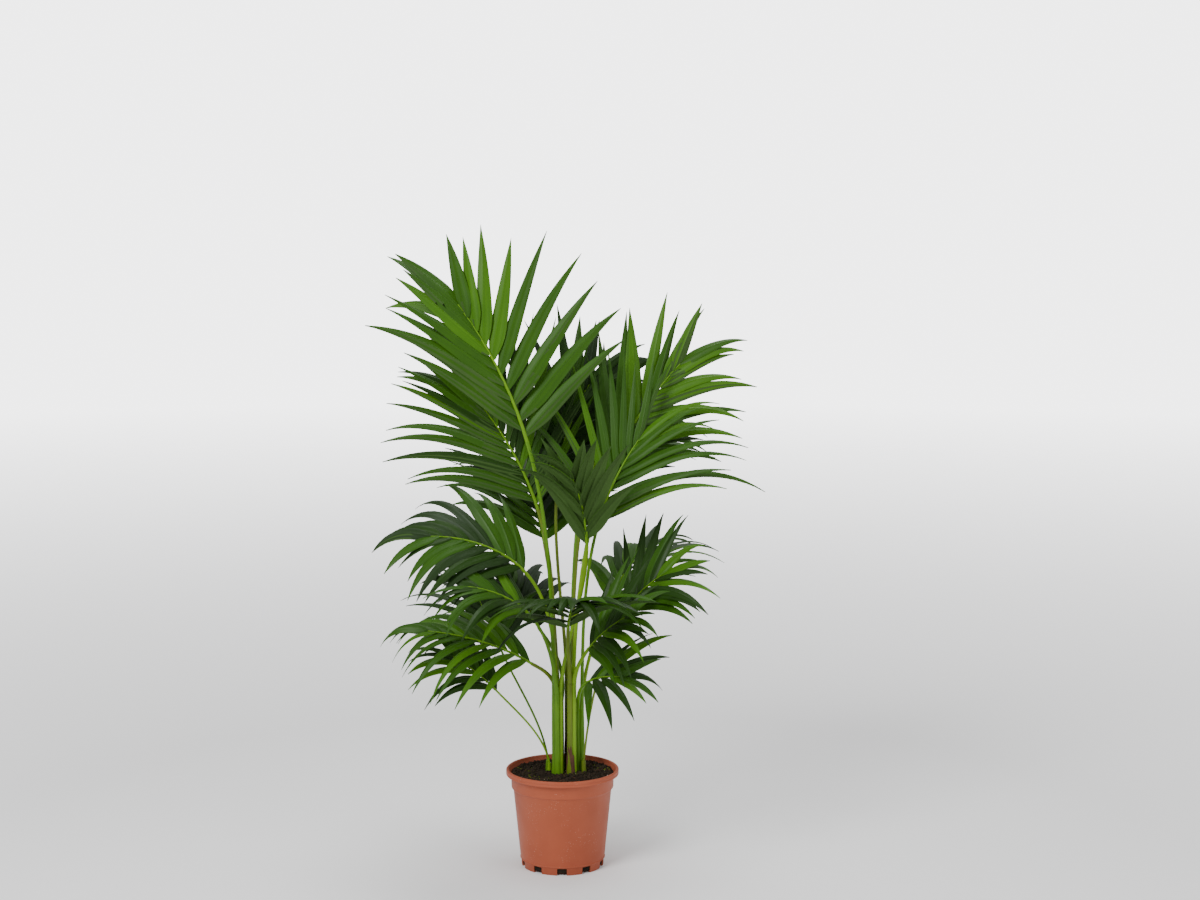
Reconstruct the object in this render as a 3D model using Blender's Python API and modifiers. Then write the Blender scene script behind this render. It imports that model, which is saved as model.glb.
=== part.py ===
"""A kentia palm in its terracotta-coloured nursery pot, as separate named solids.

The pot, the soil, eight stems, and a stalk and a blade for each of the fronds. Metres, +Z up,
origin at the middle of the pot's flat underside. The front of the plant faces -Y.
"""

import math
import random
from typing import NamedTuple

import bmesh
import bpy
from mathutils import Vector
from mathutils.bvhtree import BVHTree

# Driving dimensions of the pot
POT_HEIGHT = 0.184
RIM_RADIUS = 0.105
RIM_HEIGHT = 0.011
RIM_WIDTH = 0.0055
COLLAR_RADIUS = 0.0958
COLLAR_HEIGHT = 0.024
COLLAR_TAPER = 0.0008
COLLAR_STEP = 0.0035
SHOULDER_RADIUS = 0.0914
RIDGE_RADIUS = 0.0785
RIDGE_HEIGHT = 0.016
RIDGE_PROUD = 0.0009
FOOT_RADIUS = 0.0772
WALL = 0.0024
FLOOR = 0.003
POT_SIDES = 36
SLOT_COUNT = 10
SLOT_WIDTH = 0.018
SLOT_HEIGHT = 0.0132
SLOT_DEPTH = 0.0115

# Driving dimensions of the plant
GAP = 0.0003
NECK_GAP = 0.0009
SEAT_GAP = 0.0014
SOIL_DROP = 0.0085
SOIL_EDGE = 0.004
STEM_SIDES = 10
STEM_FOOT_SHARE = 0.92
STEM_SWELL_AT = 0.10
STEM_NARROW_AT = 0.35
SEAT_RADIUS = 0.0053
SEAT_STALK = 0.0026
STALK_POINTS = 7
RIB_POINTS = 6
RIB_TIP_RADIUS = 0.0010
ROOT_START = 0.05
SIDE_OFFSET = 0.35
TIP_SPREAD = 13.0
SPREAD_POWER = 1.5
SHINGLE = 20.0
RISE_LENGTH = 0.25
ROOT_WIDTH = 0.20
TAPER_POWER = 2.3
THICKNESS = 0.0105
LEAST_THICKNESS = 0.0018
SAG_POWER = 1.8
BASE_LENGTH = 0.72
MIDDLE_LENGTH = 0.28
MIDDLE_STRETCH = 1.15
MIDDLE_START = 0.12
TIP_LOSS = 0.16
BASE_BREADTH = 0.85
BREADTH_GAIN = 0.30
WIDER_RANGE = (-4.0, 4.0)
RAISED_RANGE = (-3.0, 5.0)
LENGTH_RANGE = (0.90, 1.08)
WIDTH_RANGE = (0.85, 1.10)
SAG_RANGE = (0.70, 1.35)
STEPS = 16
STATIONS = (0, 4, 10, 16)
FREE_STATIONS = (3, 5, 10, 16)
TEST_SIDES = 6
CLEARANCE = 0.0008
LIMB_CLEARANCE = 0.0013
SHORTEST = 0.55
SEED = 11

SOIL_TOP = POT_HEIGHT - SOIL_DROP
UP = Vector((0.0, 0.0, 1.0))


class Stem(NamedTuple):
    """A sheathed base that rises from the soil: its place, its height and its radii."""

    place: tuple
    height: float
    foot_radius: float
    top_radius: float


class Frond(NamedTuple):
    """One frond: the stem and seat that its stalk stands on, the points where its blade starts
    and ends, the way that its upper side faces, and the size and lie of its leaflets."""

    stem: int
    seat: float
    neck: tuple
    tip: tuple
    faces: tuple
    pairs: int
    length: float
    width: float
    spread: float
    sag: float
    stalk: float
    slew: float = 0.0


STEMS = (
    Stem((-0.009, -0.017), 0.150, 0.0115, 0.0088),
    Stem((0.017, -0.014), 0.170, 0.0110, 0.0085),
    Stem((0.031, 0.006), 0.115, 0.0105, 0.0085),
    Stem((-0.008, 0.016), 0.130, 0.0115, 0.0090),
    Stem((0.013, 0.026), 0.150, 0.0115, 0.0090),
    Stem((-0.024, -0.006), 0.018, 0.0040, 0.0032),
    Stem((-0.027, 0.005), 0.020, 0.0042, 0.0034),
    Stem((0.040, -0.008), 0.022, 0.0042, 0.0034),
)

# Angles are in degrees, anticlockwise from +X seen from above, and the second is above the horizon
FRONDS = (
    # top left, the broad one in front
    Frond(0, 180, (-0.062, -0.045, 0.800), (-0.188, -0.015, 1.048), (275, 15),
          8, 0.275, 0.029, 48, 0.50, 0.0036, 14),
    # upper left, behind it
    Frond(3, 180, (-0.045, 0.035, 0.665), (-0.165, 0.045, 0.875), (268, 22),
          11, 0.275, 0.020, 47, 0.65, 0.0032),
    # top right
    Frond(1, 60, (0.076, 0.030, 0.710), (0.218, 0.045, 0.935), (270, 15),
          8, 0.240, 0.024, 40, 0.90, 0.0032, 8),
    # right, narrow arching leaflets
    Frond(2, 330, (0.066, -0.030, 0.645), (0.140, -0.015, 0.800), (268, 22),
          7, 0.280, 0.016, 46, 0.95, 0.0030),
    # upper middle, behind
    Frond(4, 150, (-0.005, 0.085, 0.745), (0.050, 0.125, 0.890), (270, 15),
          7, 0.235, 0.026, 46, 0.85, 0.0030),
    # left, dark and arching
    Frond(3, 270, (-0.066, -0.020, 0.555), (-0.238, -0.050, 0.628), (290, 50),
          7, 0.200, 0.025, 48, 1.45, 0.0030),
    # left, lower, in front
    Frond(0, 270, (-0.060, -0.075, 0.490), (-0.176, -0.118, 0.548), (290, 65),
          7, 0.185, 0.022, 48, 1.45, 0.0028),
    # left, arching low
    Frond(0, 90, (-0.052, -0.050, 0.390), (-0.242, -0.085, 0.460), (290, 58),
          7, 0.185, 0.020, 48, 1.75, 0.0026),
    # lowest on the left, on a thin stalk
    Frond(5, 0, (-0.119, -0.030, 0.335), (-0.200, -0.045, 0.405), (300, 50),
          5, 0.160, 0.019, 42, 1.30, 0.0019),
    # left, behind, on a thin stalk
    Frond(6, 0, (-0.115, 0.035, 0.400), (-0.165, 0.090, 0.500), (290, 40),
          6, 0.180, 0.021, 50, 1.05, 0.0020),
    # right, on a thin stalk
    Frond(7, 0, (0.118, -0.020, 0.485), (0.195, -0.045, 0.562), (255, 50),
          6, 0.180, 0.020, 48, 1.10, 0.0020),
    # right, lower, in front
    Frond(1, 330, (0.048, -0.060, 0.420), (0.115, -0.110, 0.490), (255, 52),
          6, 0.170, 0.019, 50, 1.00, 0.0026),
    # lowest on the right, a small fan
    Frond(2, 240, (0.046, -0.065, 0.360), (0.105, -0.105, 0.380), (250, 55),
          4, 0.160, 0.020, 50, 0.85, 0.0024),
    # towards the front, low
    Frond(1, 240, (0.012, -0.070, 0.460), (0.028, -0.190, 0.535), (90, 60),
          7, 0.180, 0.028, 60, 1.15, 0.0030),
    # towards the front, half way up
    Frond(0, 0, (0.046, -0.058, 0.612), (0.022, -0.095, 0.738), (80, 30),
          5, 0.175, 0.028, 32, 0.90, 0.0030),
    # back, high
    Frond(4, 60, (0.030, 0.100, 0.660), (0.065, 0.215, 0.830), (255, 50),
          8, 0.240, 0.027, 50, 1.00, 0.0030),
    # back, left of the middle
    Frond(3, 90, (-0.035, 0.100, 0.590), (-0.085, 0.225, 0.720), (290, 55),
          8, 0.230, 0.026, 50, 1.05, 0.0030),
    # back, low on the right
    Frond(2, 60, (0.085, 0.075, 0.480), (0.160, 0.170, 0.570), (225, 60),
          7, 0.200, 0.023, 50, 1.15, 0.0028),
    # back, low on the left
    Frond(3, 0, (-0.045, 0.085, 0.430), (-0.115, 0.185, 0.520), (300, 60),
          7, 0.190, 0.023, 50, 1.15, 0.0028),
    # upper right, behind
    Frond(4, 330, (0.045, 0.075, 0.690), (0.105, 0.120, 0.840), (265, 20),
          7, 0.235, 0.026, 46, 0.90, 0.0030),
)

# What a leaflet tries, in turn, to pass its neighbours: degrees wider, degrees raised,
# share of its sag and share of its length
NUDGES = (
    (0, 0, 1.0, 1.0),
    (4, 5, 0.8, 1.0),
    (-5, 8, 0.6, 1.0),
    (6, -6, 1.3, 1.0),
    (-8, -4, 1.5, 0.95),
    (8, 14, 0.4, 0.95),
    (-10, 16, 0.3, 0.9),
    (10, -14, 1.8, 0.9),
    (0, 22, 0.4, 0.85),
    (0, -20, 1.6, 0.8),
    (-12, 6, 0.6, 0.7),
    (8, 6, 0.6, 0.62),
    (0, 0, 1.0, SHORTEST),
)

# Where a stalk's middle may lean aside to pass its neighbours: distance and number of ways
SWAYS = ((0.0, 1), (0.004, 8), (0.008, 8), (0.012, 12), (0.018, 12), (0.026, 12))


def clear_scene():
    """Remove the objects that the scene starts with."""
    for obj in list(bpy.data.objects):
        bpy.data.objects.remove(obj, do_unlink=True)


def new_collection(name, hidden=False):
    """Make a collection in the scene."""
    collection = bpy.data.collections.new(name)
    collection.hide_render = hidden
    bpy.context.scene.collection.children.link(collection)
    return collection


def finish_material(name, colour, roughness):
    """Make a plain non-metallic material."""
    material = bpy.data.materials.new(name)
    material.use_nodes = True
    shader = material.node_tree.nodes["Principled BSDF"]
    shader.inputs["Base Color"].default_value = (*colour, 1.0)
    shader.inputs["Roughness"].default_value = roughness
    shader.inputs["Metallic"].default_value = 0.0
    return material


def add_object(name, data, collection, material=None):
    """Make an object of some data, in a collection, with a material."""
    obj = bpy.data.objects.new(name, data)
    collection.objects.link(obj)
    if material:
        data.materials.append(material)
    return obj


def mesh_of_curve(obj):
    """The mesh of a bevelled curve with its caps welded on; the curve is removed."""
    bpy.context.view_layer.update()
    graph = bpy.context.evaluated_depsgraph_get()
    mesh = bpy.data.meshes.new_from_object(obj.evaluated_get(graph))
    bpy.data.objects.remove(obj, do_unlink=True)
    work = bmesh.new()
    work.from_mesh(mesh)
    bmesh.ops.remove_doubles(work, verts=work.verts, dist=0.00001)
    work.to_mesh(mesh)
    work.free()
    return mesh


def tube(name, points, radii, sides_step, collection):
    """A tapering tube along the points, as a curve object with filled caps."""
    curve = bpy.data.curves.new(name, "CURVE")
    curve.dimensions = "3D"
    curve.bevel_depth = 1.0
    curve.bevel_resolution = sides_step
    curve.use_fill_caps = True
    spline = curve.splines.new("POLY")
    spline.points.add(len(points) - 1)
    for at, point, radius in zip(spline.points, points, radii):
        at.co = (*point, 1.0)
        at.radius = radius
    return add_object(name, curve, collection)


def turned(name, profile, sides, collection, material):
    """A solid turned about Z from a profile that runs down its outer side and back up inside."""
    mesh = bpy.data.meshes.new(name)
    points = [(radius, 0.0, height) for radius, height in profile]
    edges = [(i, i + 1) for i in range(len(points) - 1)]
    mesh.from_pydata(points, edges, [])
    obj = add_object(name, mesh, collection, material)
    screw = obj.modifiers.new("Turn", "SCREW")
    screw.steps = sides
    screw.render_steps = sides
    screw.use_merge_vertices = True
    screw.merge_threshold = 0.0001
    return obj


def pot_profile():
    """The pot's wall from the middle of the floor inside, over the rim and down to the underside."""
    collar_top = POT_HEIGHT - RIM_HEIGHT
    collar_foot = collar_top - COLLAR_HEIGHT
    shoulder = collar_foot - COLLAR_STEP
    rim_inside = RIM_RADIUS - RIM_WIDTH
    edge = RIM_WIDTH * 0.3
    return (
        (0.0, FLOOR),
        (RIDGE_RADIUS - WALL - 0.002, FLOOR),
        (SHOULDER_RADIUS - WALL, shoulder),
        (COLLAR_RADIUS - WALL, collar_foot + COLLAR_STEP),
        (COLLAR_RADIUS - WALL + 0.0004, collar_top - 0.001),
        (rim_inside, collar_top + RIM_HEIGHT * 0.45),
        (rim_inside, POT_HEIGHT - edge),
        (rim_inside + edge, POT_HEIGHT),
        (RIM_RADIUS - edge, POT_HEIGHT),
        (RIM_RADIUS, POT_HEIGHT - edge),
        (RIM_RADIUS, collar_top + edge * 0.5),
        (RIM_RADIUS - edge, collar_top),
        (COLLAR_RADIUS, collar_top - 0.0004),
        (COLLAR_RADIUS - COLLAR_TAPER, collar_foot),
        (SHOULDER_RADIUS, shoulder),
        (RIDGE_RADIUS, RIDGE_HEIGHT + 0.0012),
        (RIDGE_RADIUS + RIDGE_PROUD, RIDGE_HEIGHT),
        (RIDGE_RADIUS + RIDGE_PROUD, RIDGE_HEIGHT - 0.0012),
        (FOOT_RADIUS + 0.0004, RIDGE_HEIGHT - 0.0022),
        (FOOT_RADIUS - 0.001, 0.0),
        (0.0, 0.0),
    )


def make_slot_cutters(collection):
    """Make the blocks that cut the drainage slots through the foot, open at the bottom."""
    reach = SLOT_DEPTH * 2
    for i in range(SLOT_COUNT):
        angle = math.tau * (i + 0.5) / SLOT_COUNT
        middle = FOOT_RADIUS - SLOT_DEPTH + reach / 2
        bpy.ops.mesh.primitive_cube_add(size=1.0)
        cutter = bpy.context.object
        cutter.name = f"slot_cutter_{i + 1}"
        cutter.scale = (reach, SLOT_WIDTH, SLOT_HEIGHT * 2)
        cutter.location = (middle * math.cos(angle), middle * math.sin(angle), 0.0)
        cutter.rotation_euler = (0.0, 0.0, angle)
        cutter.hide_render = True
        cutter.display_type = "WIRE"
        for owner in list(cutter.users_collection):
            owner.objects.unlink(cutter)
        collection.objects.link(cutter)


def make_pot(collection, cutters, material):
    """The turned pot with its ring of drainage slots."""
    pot = turned("pot", pot_profile(), POT_SIDES, collection, material)
    make_slot_cutters(cutters)
    cut = pot.modifiers.new("Slots", "BOOLEAN")
    cut.operation = "DIFFERENCE"
    cut.operand_type = "COLLECTION"
    cut.collection = cutters
    return pot


def make_soil(collection, material):
    """The root ball that fills the pot to just under its rim."""
    shoulder = POT_HEIGHT - RIM_HEIGHT - COLLAR_HEIGHT - COLLAR_STEP
    foot = (RIDGE_RADIUS - WALL - 0.002 - GAP, FLOOR + GAP)
    waist = (SHOULDER_RADIUS - WALL - GAP * 1.5, shoulder)
    collar = (COLLAR_RADIUS - WALL - GAP * 2, shoulder + COLLAR_STEP * 2)
    profile = (
        (0.0, SOIL_TOP),
        (collar[0] - SOIL_EDGE * 2, SOIL_TOP),
        (collar[0], SOIL_TOP - SOIL_EDGE),
        collar,
        waist,
        foot,
        (0.0, foot[1]),
    )
    return turned("soil", profile, POT_SIDES, collection, material)


def make_stem(index, collection, material):
    """One sheathed base: a turned stump that swells a little at the soil."""
    stem = STEMS[index]
    low = SOIL_TOP + GAP
    profile = (
        (0.0, low + stem.height),
        (stem.top_radius, low + stem.height),
        ((stem.foot_radius + stem.top_radius) / 2, low + stem.height * STEM_NARROW_AT),
        (stem.foot_radius, low + stem.height * STEM_SWELL_AT),
        (stem.foot_radius * STEM_FOOT_SHARE, low),
        (0.0, low),
    )
    obj = turned(f"stem_{index + 1}", profile, STEM_SIDES, collection, material)
    obj.location = (*stem.place, 0.0)
    return obj


def seat_of(frond):
    """The point on the stem's top where the frond's stalk stands."""
    stem = STEMS[frond.stem]
    shared = sum(other.stem == frond.stem for other in FRONDS) > 1
    reach = SEAT_RADIUS if shared else 0.0
    angle = math.radians(frond.seat)
    x = stem.place[0] + reach * math.cos(angle)
    y = stem.place[1] + reach * math.sin(angle)
    return Vector((x, y, SOIL_TOP + stem.height + SEAT_GAP))


def hermite(start, end, leave, arrive, u):
    """The point at u on the cubic between two points with these end tangents."""
    a = 2 * u**3 - 3 * u**2 + 1
    b = u**3 - 2 * u**2 + u
    c = -2 * u**3 + 3 * u**2
    d = u**3 - u**2
    return a * start + b * leave + c * end + d * arrive


class Rib:
    """The line of a frond's stalk and midrib, from its seat through the neck to the tip."""

    def __init__(self, frond, sway):
        self.seat = seat_of(frond)
        self.neck = Vector(frond.neck)
        self.tip = Vector(frond.tip)
        self.sway = sway
        low = self.neck - self.seat
        high = self.tip - self.neck
        bend = (low.normalized() + high.normalized()).normalized()
        end = (2 * high.normalized() - bend).normalized()
        self.leave = (UP * 2 + low.normalized()).normalized() * low.length
        self.stalk_end = bend * low.length
        self.rib_start = bend * high.length
        self.rib_end = end * high.length

    def stalk_point(self, u):
        """A point on the stalk, from 0 at the seat to 1 at the neck."""
        at = hermite(self.seat, self.neck, self.leave, self.stalk_end, u)
        return at + self.sway * math.sin(math.pi * u)

    def rib_point(self, u):
        """A point on the midrib, from 0 at the neck to 1 at the tip."""
        return hermite(self.neck, self.tip, self.rib_start, self.rib_end, u)

    def rib_direction(self, u):
        """The way that the midrib runs at u."""
        step = 0.02
        return (self.rib_point(min(u + step, 1.0)) - self.rib_point(max(u - step, 0.0))).normalized()


def stalk_tube(rib, frond):
    """Points and radii of a stalk, which ends just short of the neck."""
    end = 1.0 - NECK_GAP / (rib.neck - rib.seat).length
    points = [rib.stalk_point(end * i / (STALK_POINTS - 1)) for i in range(STALK_POINTS)]
    foot = min(frond.stalk, SEAT_STALK)
    radii = [foot + (frond.stalk - foot) * (i / (STALK_POINTS - 1)) ** 0.5 for i in range(STALK_POINTS)]
    return points, radii


def rib_tube(rib, frond):
    """Points and radii of a midrib."""
    points = [rib.rib_point(i / (RIB_POINTS - 1)) for i in range(RIB_POINTS)]
    drop = frond.stalk - RIB_TIP_RADIUS
    radii = [RIB_TIP_RADIUS + drop * (1 - i / (RIB_POINTS - 1)) for i in range(RIB_POINTS)]
    return points, radii


def ring_tube(points, radii, extra):
    """Corners and faces of a six-sided tube, used only to test what it would meet."""
    corners = []
    faces = []
    for i, (point, radius) in enumerate(zip(points, radii)):
        before = points[max(i - 1, 0)]
        after = points[min(i + 1, len(points) - 1)]
        along = (after - before).normalized()
        across = along.cross(Vector((0.0, 1.0, 0.0))).normalized()
        other = along.cross(across)
        for j in range(TEST_SIDES):
            angle = math.tau * j / TEST_SIDES
            corners.append(point + (across * math.cos(angle) + other * math.sin(angle)) * (radius + extra))
            if i:
                first = TEST_SIDES * (i - 1)
                k = (j + 1) % TEST_SIDES
                faces.append((first + j, first + k, first + k + TEST_SIDES, first + j + TEST_SIDES))
    return corners, faces


def tree_of(shape):
    """A search tree of a shape's faces."""
    corners, faces = shape
    return BVHTree.FromPolygons(corners, faces)


def stem_shape(stem):
    """A square column round a stem, to test against."""
    foot = Vector((*stem.place, SOIL_TOP))
    points = [foot, foot + UP * stem.height]
    return ring_tube(points, [stem.foot_radius, stem.top_radius], 0.0)


def settle_ribs():
    """Lay out every stalk and midrib, each swayed just enough to pass those before it."""
    ribs = []
    stems = [tree_of(stem_shape(stem)) for stem in STEMS]
    taken = []
    for frond in FRONDS:
        other_stems = stems[: frond.stem] + stems[frond.stem + 1 :]
        rib = clear_rib(frond, taken + other_stems)
        ribs.append(rib)
        taken.append(tree_of(ring_tube(*stalk_tube(rib, frond), 0.0)))
        taken.append(tree_of(ring_tube(*rib_tube(rib, frond), 0.0)))
    return ribs


def clear_rib(frond, taken):
    """The first sway of a frond's stalk that meets nothing."""
    for reach, ways in SWAYS:
        for way in range(ways):
            angle = math.tau * way / ways
            rib = Rib(frond, Vector((math.cos(angle), math.sin(angle), 0.0)) * reach)
            limbs = (stalk_tube(rib, frond), rib_tube(rib, frond))
            tests = [tree_of(ring_tube(*limb, LIMB_CLEARANCE)) for limb in limbs]
            if not any(test.overlap(other) for test in tests for other in taken):
                return rib
    return Rib(frond, Vector((0.0, 0.0, 0.0)))


class Leaflet(NamedTuple):
    """One leaflet's line: its points, the way across it at each, and its widths."""

    points: list
    across: list
    widths: list
    ridge: float


def leaflet_along(root, along, across, length, width, sag):
    """The leaflet that leaves the root along a direction and sags under its own weight."""
    level = math.hypot(along.x, along.y)
    points = [root.copy()]
    sides = [across]
    at = root.copy()
    for i in range(STEPS):
        share = (i + 0.5) / STEPS
        way = (along - UP * sag * level * share**SAG_POWER).normalized()
        at = at + way * (length / STEPS)
        points.append(at)
        sides.append((across - way * across.dot(way)).normalized())
    widths = [width * leaf_outline(i / STEPS) for i in range(STEPS + 1)]
    return Leaflet(points, sides, widths, max(length * THICKNESS, LEAST_THICKNESS))


def leaf_outline(share):
    """How wide a leaflet is at a share of its length, as a share of its full width."""
    rise = math.sin(min(share / RISE_LENGTH, 1.0) * math.pi / 2)
    return (ROOT_WIDTH + (1.0 - ROOT_WIDTH) * rise) * (1.0 - share**TAPER_POWER)


def leaflet_shape(leaflet, extra=0.0, stations=STATIONS):
    """Corners and faces of a leaflet's solid: three-sided, with its ridge on top, and pointed."""
    corners = []
    faces = []
    for station in stations[:-1]:
        point = leaflet.points[station]
        across = leaflet.across[station]
        along = (leaflet.points[min(station + 1, STEPS)] - leaflet.points[max(station - 1, 0)]).normalized()
        normal = across.cross(along)
        half = leaflet.widths[station] / 2 + extra
        share = station / STEPS
        ridge = leaflet.ridge * (1.0 - 0.5 * share)
        corners += [
            point - across * half - normal * extra,
            point + across * half - normal * extra,
            point + normal * (ridge + extra),
        ]
    corners.append(leaflet.points[-1])
    faces.append((0, 1, 2))
    for i in range(len(STATIONS) - 2):
        for j in range(3):
            k = (j + 1) % 3
            faces.append((3 * i + j, 3 * i + 3 + j, 3 * i + 3 + k, 3 * i + k))
    last = 3 * (len(STATIONS) - 2)
    for j in range(3):
        faces.append((last + j, last + 3, last + (j + 1) % 3))
    return corners, faces


def blade_axes(frond, rib, u):
    """The midrib's direction at u, the blade's upper normal there and the way to its right."""
    heading, height = (math.radians(angle) for angle in frond.faces)
    flat = Vector((math.cos(heading), math.sin(heading), 0.0)) * math.cos(height)
    faces = flat + UP * math.sin(height)
    along = rib.rib_direction(u)
    normal = (faces - along * faces.dot(along)).normalized()
    return along, normal, along.cross(normal)


def length_share(u):
    """How long a leaflet at u on the midrib is, as a share of the frond's longest."""
    middle = math.sin(math.pi * min(u * MIDDLE_STRETCH + MIDDLE_START, 1.0))
    return BASE_LENGTH + MIDDLE_LENGTH * middle - TIP_LOSS * u**4


def grow_leaflet(frond, rib, u, side, nudge, draw):
    """The leaflet at u on one side of a midrib, with a nudge and its own small differences."""
    wider, raised, sag_part, length_part = nudge
    along, normal, right = blade_axes(frond, rib, u)
    opening = frond.spread + (TIP_SPREAD - frond.spread) * u**SPREAD_POWER
    yaw = math.radians(opening + frond.slew * side * (1.0 - u) + wider + draw[0])
    lift = math.radians(raised + draw[1])
    out = right * (side * math.cos(lift)) + normal * math.sin(lift)
    way = (along * math.cos(yaw) + out * math.sin(yaw)).normalized()
    level = way.cross(normal).normalized()
    tip_up = math.radians(SHINGLE) * side
    across = level * math.cos(tip_up) + level.cross(way) * math.sin(tip_up)
    length = frond.length * length_share(u) * length_part * draw[2]
    width = frond.width * (BASE_BREADTH + BREADTH_GAIN * length_share(u)) * draw[3]
    return leaflet_along(rib.rib_point(u), way, across, length, width, frond.sag * sag_part * draw[4])


def own_differences(dice):
    """What a leaflet differs by from its neighbours: degrees wider and raised, and shares."""
    return (
        dice.uniform(*WIDER_RANGE),
        dice.uniform(*RAISED_RANGE),
        dice.uniform(*LENGTH_RANGE),
        dice.uniform(*WIDTH_RANGE),
        dice.uniform(*SAG_RANGE),
    )


def slots_of(frond):
    """The places of a frond's leaflets: how far up the midrib, and on which side."""
    places = []
    room = (1.0 - ROOT_START) / (frond.pairs - 1)
    for i in range(frond.pairs):
        u = ROOT_START + room * i
        places.append((min(u, 1.0), 1))
        places.append((min(u + room * SIDE_OFFSET, 1.0), -1))
    return places


def grow_blade(frond, rib, dice, taken):
    """The leaflets of a frond that meet nothing else."""
    leaflets = []
    siblings = []
    for u, side in slots_of(frond):
        draw = own_differences(dice)
        for nudge in NUDGES:
            leaflet = grow_leaflet(frond, rib, u, side, nudge, draw)
            whole = tree_of(leaflet_shape(leaflet, CLEARANCE))
            free = tree_of(leaflet_shape(leaflet, 0.0, FREE_STATIONS))
            meets = any(whole.overlap(other) for other in taken)
            if meets or any(free.overlap(other) for other in siblings):
                continue
            leaflets.append(leaflet)
            siblings.append(free)
            break
    return leaflets


def leaflet_mesh(name, leaflet):
    """A mesh of a leaflet's solid."""
    corners, faces = leaflet_shape(leaflet)
    mesh = bpy.data.meshes.new(name)
    mesh.from_pydata([tuple(corner) for corner in corners], [], faces)
    work = bmesh.new()
    work.from_mesh(mesh)
    bmesh.ops.recalc_face_normals(work, faces=work.faces)
    work.to_mesh(mesh)
    work.free()
    return mesh


def largest_shell(mesh):
    """Drop every piece of a mesh but its largest: hollows sealed by fusing, and loose scraps."""
    work = bmesh.new()
    work.from_mesh(mesh)
    left = set(work.verts)
    shells = []
    while left:
        edge = [left.pop()]
        shell = set(edge)
        while edge:
            vert = edge.pop()
            for link in vert.link_edges:
                other = link.other_vert(vert)
                if other in left:
                    left.remove(other)
                    shell.add(other)
                    edge.append(other)
        shells.append(shell)
    shells.sort(key=len, reverse=True)
    drop = [vert for shell in shells[1:] for vert in shell]
    bmesh.ops.delete(work, geom=drop, context="VERTS")
    bmesh.ops.triangulate(work, faces=work.faces)
    work.to_mesh(mesh)
    work.free()


def fuse_blade(name, rib_mesh, leaflets, collection, material):
    """One solid of a midrib and its leaflets, by a Boolean union on their collection."""
    pile = new_collection(f"{name}_leaflets", hidden=True)
    for i, leaflet in enumerate(leaflets):
        add_object(f"{name}_leaflet_{i + 1}", leaflet_mesh(f"{name}_leaflet", leaflet), pile)
    obj = add_object(name, rib_mesh, collection)
    union = obj.modifiers.new("Leaflets", "BOOLEAN")
    union.operation = "UNION"
    union.operand_type = "COLLECTION"
    union.collection = pile
    bpy.context.view_layer.update()
    graph = bpy.context.evaluated_depsgraph_get()
    mesh = bpy.data.meshes.new_from_object(obj.evaluated_get(graph))
    obj.modifiers.remove(union)
    obj.data = mesh
    largest_shell(mesh)
    mesh.materials.clear()
    mesh.materials.append(material)
    for piece in list(pile.objects):
        bpy.data.objects.remove(piece, do_unlink=True)
    bpy.data.collections.remove(pile)
    return obj


def make_fronds(plant, scrap, stalk_finish, leaf_finish):
    """Every stalk and every blade, in the order of the list, each clear of those before it."""
    ribs = settle_ribs()
    stems = [tree_of(stem_shape(stem)) for stem in STEMS]
    stalks = [tree_of(ring_tube(*stalk_tube(rib, frond), 0.0)) for rib, frond in zip(ribs, FRONDS)]
    midribs = [tree_of(ring_tube(*rib_tube(rib, frond), 0.0)) for rib, frond in zip(ribs, FRONDS)]
    blades = []
    for i, (rib, frond) in enumerate(zip(ribs, FRONDS)):
        others = midribs[:i] + midribs[i + 1 :]
        leaflets = grow_blade(frond, rib, random.Random(SEED + i), stems + stalks + others + blades)
        for leaflet in leaflets:
            blades.append(tree_of(leaflet_shape(leaflet)))
        number = f"{i + 1:02d}"
        stalk = tube(f"petiole_{number}", *stalk_tube(rib, frond), 1, plant)
        stalk.data.materials.append(stalk_finish)
        midrib = mesh_of_curve(tube(f"rib_{number}", *rib_tube(rib, frond), 0, scrap))
        fuse_blade(f"frond_{number}", midrib, leaflets, plant, leaf_finish)


def main():
    """Build the whole potted palm."""
    clear_scene()
    plant = new_collection("potted_kentia_palm")
    cutters = new_collection("cutters", hidden=True)
    scrap = new_collection("guides", hidden=True)
    terracotta = finish_material("terracotta_plastic", (0.42, 0.12, 0.07), 0.5)
    peat = finish_material("dark_potting_soil", (0.020, 0.014, 0.010), 0.95)
    sheath = finish_material("green_sheath", (0.20, 0.30, 0.04), 0.5)
    stalk = finish_material("yellow_green_stalk", (0.22, 0.38, 0.04), 0.4)
    leaf = finish_material("palm_leaf_green", (0.035, 0.13, 0.018), 0.4)
    make_pot(plant, cutters, terracotta)
    make_soil(plant, peat)
    for index in range(len(STEMS)):
        make_stem(index, plant, sheath)
    make_fronds(plant, scrap, stalk, leaf)


if __name__ == "__main__":
    main()
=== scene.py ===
"""The looks of a potted kentia palm: fine leaflets, channelled stalks, fibrous sheaths, pot and soil."""

import logging
import math
import random
from collections.abc import Callable
from dataclasses import dataclass
from enum import Enum

import bmesh
import bpy
from mathutils import Matrix, Vector, noise
from mathutils.bvhtree import BVHTree


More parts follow.
